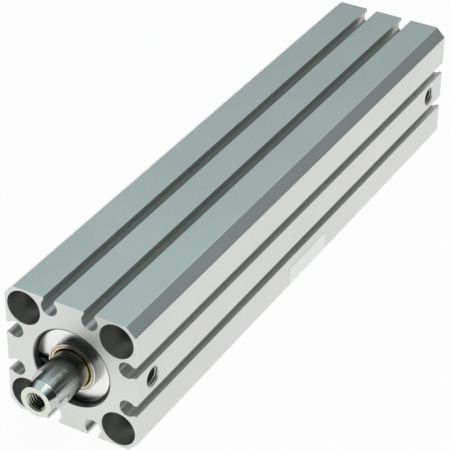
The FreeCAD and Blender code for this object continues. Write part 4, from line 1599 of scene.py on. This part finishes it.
@dataclass
class Rod:
    """The piston rod with its tapered tip, wrench flats, end thread and spigot.

    Args:
        radius: Radius of the rod.
        tip: Place of the end face along the frame.
        tip_length: Length of the tapered tip.
        tip_taper: Radius that the taper takes off at the end face.
        end_easing: Radius of the end face's edge.
        lead_easing: Radius between the taper and the rod.
        lead_rows: Rows of points along the taper.
        flat_height: Distance of the wrench flats from the axis.
        flats_length: Length of the flats from the end face.
        flat_turn: Angle of a flat's normal in degrees, from the X axis to the Z axis.
        shoulder: Place where the rod steps down to its spigot.
        spigot_radius: Radius of the spigot that carries the piston.
        spigot_end: Place of the spigot's end.
        spigot_chamfer: Size of the chamfer there.
        drill_depth: Depth of the tapping drill's point below the end face.
        flat_columns: Points across a flat.
        round_columns: Points round the rod from flat to flat.
        thread: Thread in the end face.
    """

    radius: float = 5.0
    tip: float = -14.5
    tip_length: float = 1.9
    tip_taper: float = 0.95
    end_easing: float = 0.06
    lead_easing: float = 0.5
    lead_rows: int = 9
    flat_height: float = 4.0
    flats_length: float = 5.5
    flat_turn: float = -36.3
    shoulder: float = 141.6
    spigot_radius: float = 3.0
    spigot_end: float = 154.8
    spigot_chamfer: float = 0.5
    drill_depth: float = 11.2
    flat_columns: int = 17
    round_columns: int = 33
    thread: InsideThread = InsideThread(core=2.1, root=2.5, pitch=0.8, depth=10.0, countersink=0.5)

    @property
    def flats_end(self) -> float:
        """Place of the flats' inner ends along the frame."""
        return self.tip + self.flats_length

    @property
    def turns(self) -> tuple[float, float]:
        """Angles of the two flats' normals in radians."""
        first = float(np.radians(self.flat_turn))
        return first, first + np.pi

    def chord(self, radius: Array, share: Array) -> Array:
        """Places along the chord that a flat cuts from a circle, (radius^2 - height^2)^(1/2) * share."""
        return np.sqrt(radius ** 2 - self.flat_height ** 2) * share

    def half_angle(self, radius: Array) -> Array:
        """Half of the angle that a flat takes of a circle of this radius, arccos(height / radius)."""
        return np.arccos(self.flat_height / radius)

    def circle_angles(self) -> Array:
        """Angles of the columns on the full rod, which meet the flats' edges.

        Returns:
            The angles in radians.
        """
        half = float(self.half_angle(np.array(self.radius)))
        flat = np.linspace(-half, half, self.flat_columns)[:-1]
        plain = np.linspace(half, np.pi - half, self.round_columns)[:-1]
        return np.concatenate([turn + part for turn in self.turns for part in (flat, plain)])

    def end_profile(self) -> Outline:
        """The tip's outline from its end face over the lead to the flats' inner ends, edges rounded.

        Returns:
            The profile of (radius, height).
        """
        share = np.linspace(0.0, 1.0, self.lead_rows)
        radii = self.radius - self.tip_taper * (1.0 - share)
        heights = self.tip + self.tip_length * share
        shape = profile(
            [(0.0, self.tip), *zip(radii, heights), (self.radius, self.flats_end)],
            [0.0, self.end_easing, *[0.0] * (self.lead_rows - 2), self.lead_easing, 0.0], Side.OUTWARD,
        )
        return Outline(shape.points[1:], shape.normals[1:])

    def worked_end(self, shape: Outline) -> list[Patch]:
        """The part of the tip whose circle is cut by the two flats.

        A flat is the plane at its height; its points run along the chord that the circle of each
        row leaves on it. The rest of the row is the circle's arc between the flats.

        Args:
            shape: Outline of the tip as (radius, height).

        Returns:
            The two flats and the two round sides.
        """
        radii, heights = shape.points[:, :1], shape.points[:, 1:]
        half = self.half_angle(radii)
        chord = self.chord(radii, np.linspace(-1.0, 1.0, self.flat_columns))
        spread = np.linspace(0.0, 1.0, self.round_columns)
        patches = []
        for turn in self.turns:
            angle = turn + np.arctan2(chord, self.flat_height)
            rows = np.broadcast_to(heights, angle.shape)
            points = ROD_AXIS.place(np.hypot(chord, self.flat_height), rows, angle)
            facing = ROD_AXIS.direction(np.ones(1), np.zeros(1), np.array([turn]))
            patches.append(Patch.grid(points, np.broadcast_to(facing, points.shape), False))
            angle = turn + half + (np.pi - 2.0 * half) * spread
            outward, lengthwise, reach, rows = (
                np.broadcast_to(column, angle.shape)
                for column in (shape.normals[:, :1], shape.normals[:, 1:], radii, heights)
            )
            points = ROD_AXIS.place(reach, rows, angle)
            patches.append(Patch.grid(points, ROD_AXIS.direction(outward, lengthwise, angle), False))
        return patches

    def end_loop(self) -> Array:
        """The edge of the end face: the tip's circle with the flats' chords.

        Returns:
            The edge's points in order.
        """
        radius = float(self.end_profile().points[0, 0])
        half = float(self.half_angle(np.array(radius)))
        chord = self.chord(np.array(radius), np.linspace(-1.0, 1.0, self.flat_columns)[:-1])
        flat = np.arctan2(chord, self.flat_height)
        plain = np.linspace(half, np.pi - half, self.round_columns)[:-1]
        angles = np.concatenate([turn + part for turn in self.turns for part in (flat, plain)])
        radii = np.concatenate([np.hypot(chord, self.flat_height), np.full(plain.shape, radius)] * 2)
        return ROD_AXIS.place(radii, np.full(radii.shape, self.tip), angles)

    def shoulders(self) -> list[Patch]:
        """The two small steps at the flats' inner ends, each between a chord and its arc.

        Returns:
            The two surfaces.
        """
        share = np.linspace(-1.0, 1.0, self.flat_columns)
        chord = self.chord(np.array(self.radius), share)
        half = float(self.half_angle(np.array(self.radius)))
        radii = np.stack([np.hypot(chord, self.flat_height), np.full(share.shape, self.radius)])
        heights = np.full(radii.shape, self.flats_end)
        patches = []
        for turn in self.turns:
            angles = turn + np.stack([np.arctan2(chord, self.flat_height), half * share])
            points = ROD_AXIS.place(radii, heights, angles)
            patches.append(Patch.grid(points, np.broadcast_to((0.0, -1.0, 0.0), points.shape), False))
        return patches

    def build(self, finish: Finish) -> None:
        """Makes the rod's shell in place of its CAD node.

        Args:
            finish: Finish of the rod.
        """
        shell = Shell("rod_shell")
        shell.add(*self.worked_end(self.end_profile()))
        shell.add(*self.shoulders())
        stem = profile([
            (self.radius, self.flats_end), (self.radius, self.shoulder),
            (self.spigot_radius, self.shoulder),
            (self.spigot_radius, self.spigot_end - self.spigot_chamfer),
            (self.spigot_radius - self.spigot_chamfer, self.spigot_end), (0.0, self.spigot_end),
        ], [0.0] * 6, Side.OUTWARD)
        shell.add(Patch.turned(stem, ROD_AXIS, self.circle_angles()))
        hole = Axis((0.0, self.tip, 0.0), (0.0, 1.0, 0.0), (1.0, 0.0, 0.0), (0.0, 0.0, -1.0))
        shell.add(self.thread.patch(hole))
        drill = profile(
            [(self.thread.core, self.thread.depth), (0.0, self.drill_depth)], [0.0, 0.0], Side.INWARD
        )
        shell.add(Patch.turned(drill, hole, self.thread.angles()))
        shell.add(Patch.flat([self.end_loop(), self.thread.mouth(hole)], (0.0, -1.0, 0.0)))
        shell.build(finish, Body.ROD, "piston_rod")


@dataclass
class Sticker:
    """The blank sticker on the right side.

    Args:
        face: Place of the side that it lies on.
        thickness: Thickness of the film.
        start: Place of its front edge along the barrel.
        end: Place of its rear edge along the barrel.
        low: Height of its lower edge.
        high: Height of its upper edge.
        corner: Radius of its corners.
        corner_steps: Points on a corner.
        edge: Radius of the film's outer edge.
    """

    face: float
    thickness: float = 0.1
    start: float = 75.0
    end: float = 95.2
    low: float = -15.3
    high: float = -10.1
    corner: float = 0.5
    corner_steps: int = 9
    edge: float = 0.04

    def build(self, finish: Finish) -> None:
        """A rounded rectangle carried across its thickness, its outer edge rounded.

        Args:
            finish: Finish of the sticker.
        """
        front, rear = self.start + self.corner, self.end - self.corner
        low, high = self.low + self.corner, self.high - self.corner
        corners = [(rear, high, 0.0), (front, high, 90.0), (front, low, 180.0), (rear, low, 270.0)]
        outline = Outline.joined([
            Outline.arc((y, z), self.corner, angle, angle + 90.0, self.corner_steps)
            for y, z, angle in corners
        ])
        tilt = np.radians(np.linspace(0.0, 90.0, FINE_EDGE_STEPS))
        inset = np.concatenate([[0.0], self.edge - self.edge * np.cos(tilt)])
        rise = self.thickness - self.edge + self.edge * np.sin(tilt)
        height = self.face + np.concatenate([[0.0], rise])
        look = np.concatenate([[0.0], tilt])
        flat = outline.points - inset[:, None, None] * outline.normals
        rows = np.broadcast_to(height[:, None, None], (*flat.shape[:2], 1))
        rises = np.broadcast_to(np.sin(look)[:, None, None], rows.shape)
        points = np.concatenate([rows, flat], axis=-1)
        normals = np.concatenate([rises, np.cos(look)[:, None, None] * outline.normals], axis=-1)
        shell = Shell("sticker_film")
        shell.add(Patch.grid(points, normals, True))
        shell.add(Patch.flat([points[-1]], (1.0, 0.0, 0.0)))
        shell.add(Patch.flat([points[0]], (-1.0, 0.0, 0.0)))
        shell.build(finish, Body.BARREL, "blank_label")


@dataclass
class DressedGroup:
    """CAD nodes that keep their shape and take a finish each.

    Args:
        name: Name of the sub-assembly.
        finishes: Finish of each node.
    """

    name: str
    finishes: dict[str, Finish]

    def dress(self) -> None:
        """Puts each finish into its node's material slots."""
        for node, finish in self.finishes.items():
            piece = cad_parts[node]
            for slot in piece.material_slots:
                slot.material = finish.material()
            LOG.info("%s: %s in %s", self.name, node, finish.name)


# Studio

@dataclass(frozen=True)
class Lamp:
    """A soft rectangular lamp.

    Args:
        name: Name of the lamp.
        place: Where it stands, in metres.
        aim: Point that it faces, in metres.
        size: Width and height in metres.
        power: Power in watts.
        colour: Colour of its light.
    """

    name: str
    place: Point
    aim: Point
    size: tuple[float, float]
    power: float
    colour: Point

    def build(self) -> None:
        """Makes the lamp and turns it to its aim."""
        light = bpy.data.lights.new(self.name, "AREA")
        light.shape = "RECTANGLE"
        light.size, light.size_y = self.size
        light.energy = self.power
        light.color = self.colour
        lamp = bpy.data.objects.new(self.name, light)
        bpy.context.scene.collection.objects.link(lamp)
        lamp.location = self.place
        look = Vector(self.aim) - Vector(self.place)
        lamp.rotation_euler = look.to_track_quat("-Z", "Y").to_euler()


@dataclass
class Studio:
    """White floor, a soft lamp, a room that is dim low down and bright overhead, and the camera.

    Args:
        floor_place: Height of the floor in millimetres.
        floor_flat: Radius of its flat middle in millimetres.
        floor_radius: Radius of its rim in millimetres.
        floor_rise: Height of its rim above its middle in millimetres.
        floor_rows: Circles of points from the flat middle to the rim.
        floor_columns: Points round the floor.
        low_room: Light of the room low down and at its dim walls.
        high_room: Light of its ceiling.
        ceiling: Upward parts of a direction at which the ceiling starts and is full.
        left_wall: Leftward parts of a direction at which the ceiling starts to fade and is gone.
        right_wall: The same to the right.
        front_wall: The same to the front.
        focal_length: Focal length of the camera in millimetres.
        sensor: Width of its sensor in millimetres.
        camera_place: Place of the camera in metres.
        camera_right: Direction to the right in the picture.
        camera_down: Direction down in the picture.
        camera_forward: Direction that the camera looks in.
        camera_range: Nearest and farthest distances that it sees, in metres.
        lamps: The lamps.
    """

    floor_place: float = -18.05
    floor_flat: float = 900.0
    floor_radius: float = 3000.0
    floor_rise: float = 130.0
    floor_rows: int = 24
    floor_columns: int = 96
    low_room: Colour = (0.032, 0.035, 0.033, 1.0)
    high_room: Colour = (0.78, 0.97, 1.00, 1.0)
    ceiling: tuple[float, float] = (0.10, 0.90)
    left_wall: tuple[float, float] = (0.50, 0.72)
    right_wall: tuple[float, float] = (0.30, 0.86)
    front_wall: tuple[float, float] = (0.20, 0.60)
    focal_length: float = 154.628
    sensor: float = 36.0
    camera_place: Point = (0.20518, -0.29365, 0.27799)
    camera_right: Point = (0.86784, 0.49667, 0.01331)
    camera_down: Point = (0.2847, -0.47516, -0.83257)
    camera_forward: Point = (-0.40719, 0.72632, -0.55376)
    camera_range: tuple[float, float] = (0.01, 20.0)
    lamps: tuple[Lamp, ...] = (
        Lamp(
            "high_lamp", place=(0.62, 0.28, 1.44), aim=(0.0, 0.08, 0.0), size=(0.9, 0.9), power=7.0,
            colour=(1.0, 0.99, 0.97),
        ),
    )

    def floor(self, finish: Finish) -> None:
        """A round floor, flat in the middle and rising as a square of the distance to its rim.

        Args:
            finish: Finish of the floor.
        """
        span = self.floor_radius - self.floor_flat
        radius = np.linspace(self.floor_flat, self.floor_radius, self.floor_rows)
        radius = np.concatenate([[0.0], radius])
        share = np.clip((radius - self.floor_flat) / span, 0.0, None)
        slope = 2.0 * self.floor_rise * share / span
        tilt = np.hypot(1.0, slope)
        normals = np.stack([-slope / tilt, 1.0 / tilt], axis=1)
        shape = Outline(np.stack([radius, self.floor_rise * share ** 2], axis=1), normals)
        centre = (0.0, 0.0, self.floor_place)
        upright = Axis(centre, (0.0, 0.0, 1.0), (1.0, 0.0, 0.0), (0.0, 1.0, 0.0))
        shell = Shell("studio_floor", [Patch.turned(shape, upright, even_angles(self.floor_columns))])
        shell.make(finish.material())

    def room(self) -> None:
        """World light: a ceiling that fades towards the floor and towards three walls."""
        world = bpy.data.worlds.new("studio_room")
        world.use_nodes = True
        bpy.context.scene.world = world
        graph = Graph(world.node_tree)
        direction = graph.add("ShaderNodeTexCoord", output="Generated")
        rightward, rearward, upward = graph.split(direction)
        ceiling = upward.step(*self.ceiling)
        left = 1.0 - (0.0 - rightward).step(*self.left_wall)
        right = 1.0 - rightward.step(*self.right_wall)
        front = 1.0 - (0.0 - rearward).step(*self.front_wall)
        colour = graph.mix(ceiling * left * right * front, self.low_room, self.high_room)
        light = graph.add("ShaderNodeBackground", None, {"Color": colour, "Strength": 1.0})
        graph.add("ShaderNodeOutputWorld", None, {"Surface": light})

    def camera(self) -> None:
        """The camera at the photograph's viewing angle."""
        lens = bpy.data.cameras.new("photo_camera")
        lens.lens = self.focal_length
        lens.sensor_width = self.sensor
        lens.clip_start, lens.clip_end = self.camera_range
        camera = bpy.data.objects.new("photo_camera", lens)
        bpy.context.scene.collection.objects.link(camera)
        columns = np.array([
            self.camera_right, [-value for value in self.camera_down],
            [-value for value in self.camera_forward], self.camera_place,
        ])
        matrix = np.eye(4)
        matrix[:3, :] = columns.T
        camera.matrix_world = Matrix(matrix.tolist())
        bpy.context.scene.camera = camera

    def build(self, floor_finish: Finish) -> None:
        """Sets up the floor, lamps, room and camera.

        Args:
            floor_finish: Finish of the floor.
        """
        self.floor(floor_finish)
        self.room()
        self.camera()
        for lamp in self.lamps:
            lamp.build()
        bpy.context.scene.view_settings.view_transform = "Standard"
        LOG.info("studio: floor, room, camera and lamps: %s", ", ".join(lamp.name for lamp in self.lamps))


# The cylinder's pieces and finishes

BARREL = Barrel()
ROD = Rod()
STICKER = Sticker(face=BARREL.half)

ANODISED = AnodisedFinish(
    "finish_anodised_barrel", "anodised_barrel",
    (0.7775, 0.7825, 0.7515, 1.0), (0.6675, 0.6725, 0.6455, 1.0), 0.32,
    # The bore's darker colour is painted shade in the recess.
    scatter=0.12, bore=(0.30, 0.305, 0.295, 1.0), bore_reach=11.3, barrel=BARREL,
    ends=MilledEnds(
        (0.93, 0.94, 0.905, 1.0), specks=0.25, roughness=0.45, scatter=0.25, cutter_height=2.0,
        # A painted shadow line on the edge of the bore's mouth.
        edge_shadow=(0.04, 0.04, 0.038, 1.0), edge_shadow_reach=10.8, edge_shadow_shift=0.09,
    ),
    # Painted shade on the slots' walls, more on the upper slots.
    slots=SlotWalls(reach=7.9, start=0.0, full=0.12, slot_shade=0.05, top_slot_shade=0.25, scatter=0.35),
    # Painted shade deeper in the ports and at their threads' roots.
    ports=ShadedThread((0.70, 0.71, 0.69, 1.0), (0.15, 0.15, 0.145, 1.0), root_radius=2.28),
    shade_start=1.0, shade_full=2.0)
COVER = CoverFinish(
    "finish_turned_cover", "machined_cover",
    (0.95, 0.95, 0.935, 1.0), (0.87, 0.87, 0.86, 1.0), 0.28, line_depth=0.002,
    # The boss wall's darker colour is painted shade.
    wall_reach=(6.40, 6.52), painted_wall_shade=(0.42, 0.425, 0.41, 1.0), wall_roughness=-0.04)
CHROME = ChromeFinish(
    "finish_ground_chrome", "chromed_rod",
    (0.62, 0.63, 0.60, 1.0), (0.55, 0.56, 0.53, 1.0), 0.10,
    rod=ROD, steel=(0.76, 0.785, 0.69, 1.0), steel_roughness=0.34, flat_share=0.45, cone_scatter=0.35,
    # Painted shade in the rod thread's roots.
    thread=ShadedThread((0.50, 0.50, 0.46, 1.0), (0.03, 0.03, 0.028, 1.0), root_radius=2.28))
BRONZE = BronzeFinish(
    "finish_sintered_bronze", "bush_bronze",
    (0.72, 0.61, 0.38, 1.0), (0.36, 0.27, 0.13, 1.0), 0.28,
    # Painted shade on the bush's inner and outer edges.
    inner_edge=5.36, outer_edge=5.92, painted_shade=(0.09, 0.075, 0.045, 1.0))
BLACK_SPRING = SpringSteelFinish(
    "finish_black_spring_steel", "black_spring_steel",
    (0.014, 0.014, 0.0145, 1.0), (0.006, 0.006, 0.0065, 1.0), 0.40)
SEAL = RubberFinish(
    "finish_seal_rubber", "seal_rubber",
    (0.02, 0.02, 0.021, 1.0), (0.045, 0.045, 0.046, 1.0), 0.55)
BUMPER = RubberFinish(
    "finish_bumper_rubber", "bumper_rubber",
    (0.035, 0.032, 0.03, 1.0), (0.06, 0.056, 0.052, 1.0), 0.6)
PISTON = TurnedFinish(
    "finish_piston_alloy", "piston_alloy",
    (0.80, 0.80, 0.79, 1.0), (0.70, 0.70, 0.69, 1.0), 0.28, line_depth=0.003)
WEAR = ResinFinish(
    "finish_wear_resin", "wear_resin",
    (0.10, 0.085, 0.06, 1.0), (0.055, 0.045, 0.032, 1.0), 0.5)
MAGNET = MagnetFinish(
    "finish_bonded_magnet", "bonded_magnet",
    (0.05, 0.05, 0.052, 1.0), (0.13, 0.13, 0.135, 1.0), 0.55)
PLATED = PlatedFinish(
    "finish_plated_steel", "plated_steel",
    (0.72, 0.73, 0.75, 1.0), (0.64, 0.64, 0.60, 1.0), 0.3)
FILM = FilmFinish(
    "finish_sticker_film", "sticker_film",
    (0.955, 0.965, 0.93, 1.0), (0.935, 0.945, 0.91, 1.0), 0.36)
PAPER = FloorFinish(
    "finish_floor_paper", "floor_paper",
    (0.92, 0.92, 0.92, 1.0), (0.90, 0.90, 0.90, 1.0), 1.0, glow=0.96)


def groups() -> list[DressedGroup]:
    """The sub-assemblies whose CAD nodes stay.

    Returns:
        The groups, with the finish of each node.
    """
    return [
        DressedGroup("rod end", {
            "rod_cover": COVER, "rod_bush": BRONZE, "rod_seal": SEAL, "rod_cover_oring": SEAL,
            "rod_cover_snap_ring": BLACK_SPRING, "front_bumper": BUMPER,
        }),
        DressedGroup("head end", {
            "head_cover": COVER, "head_cover_oring": SEAL, "head_cover_snap_ring": BLACK_SPRING,
            "rear_bumper": BUMPER,
        }),
        DressedGroup("piston", {
            "piston_front": PISTON, "piston_rear": PISTON, "magnet_ring": MAGNET, "wear_ring": WEAR,
            "piston_seal": SEAL, "piston_rod_oring": SEAL, "piston_washer": PLATED, "piston_nut": PLATED,
        }),
    ]


def main() -> None:
    """Builds the pieces, dresses the CAD nodes and sets up the studio."""
    logging.basicConfig(level=logging.INFO, format="%(message)s")
    BARREL.build(ANODISED)
    ROD.build(CHROME)
    STICKER.build(FILM)
    for group in groups():
        group.dress()
    Studio().build(PAPER)


if __name__ == "__main__":
    main()
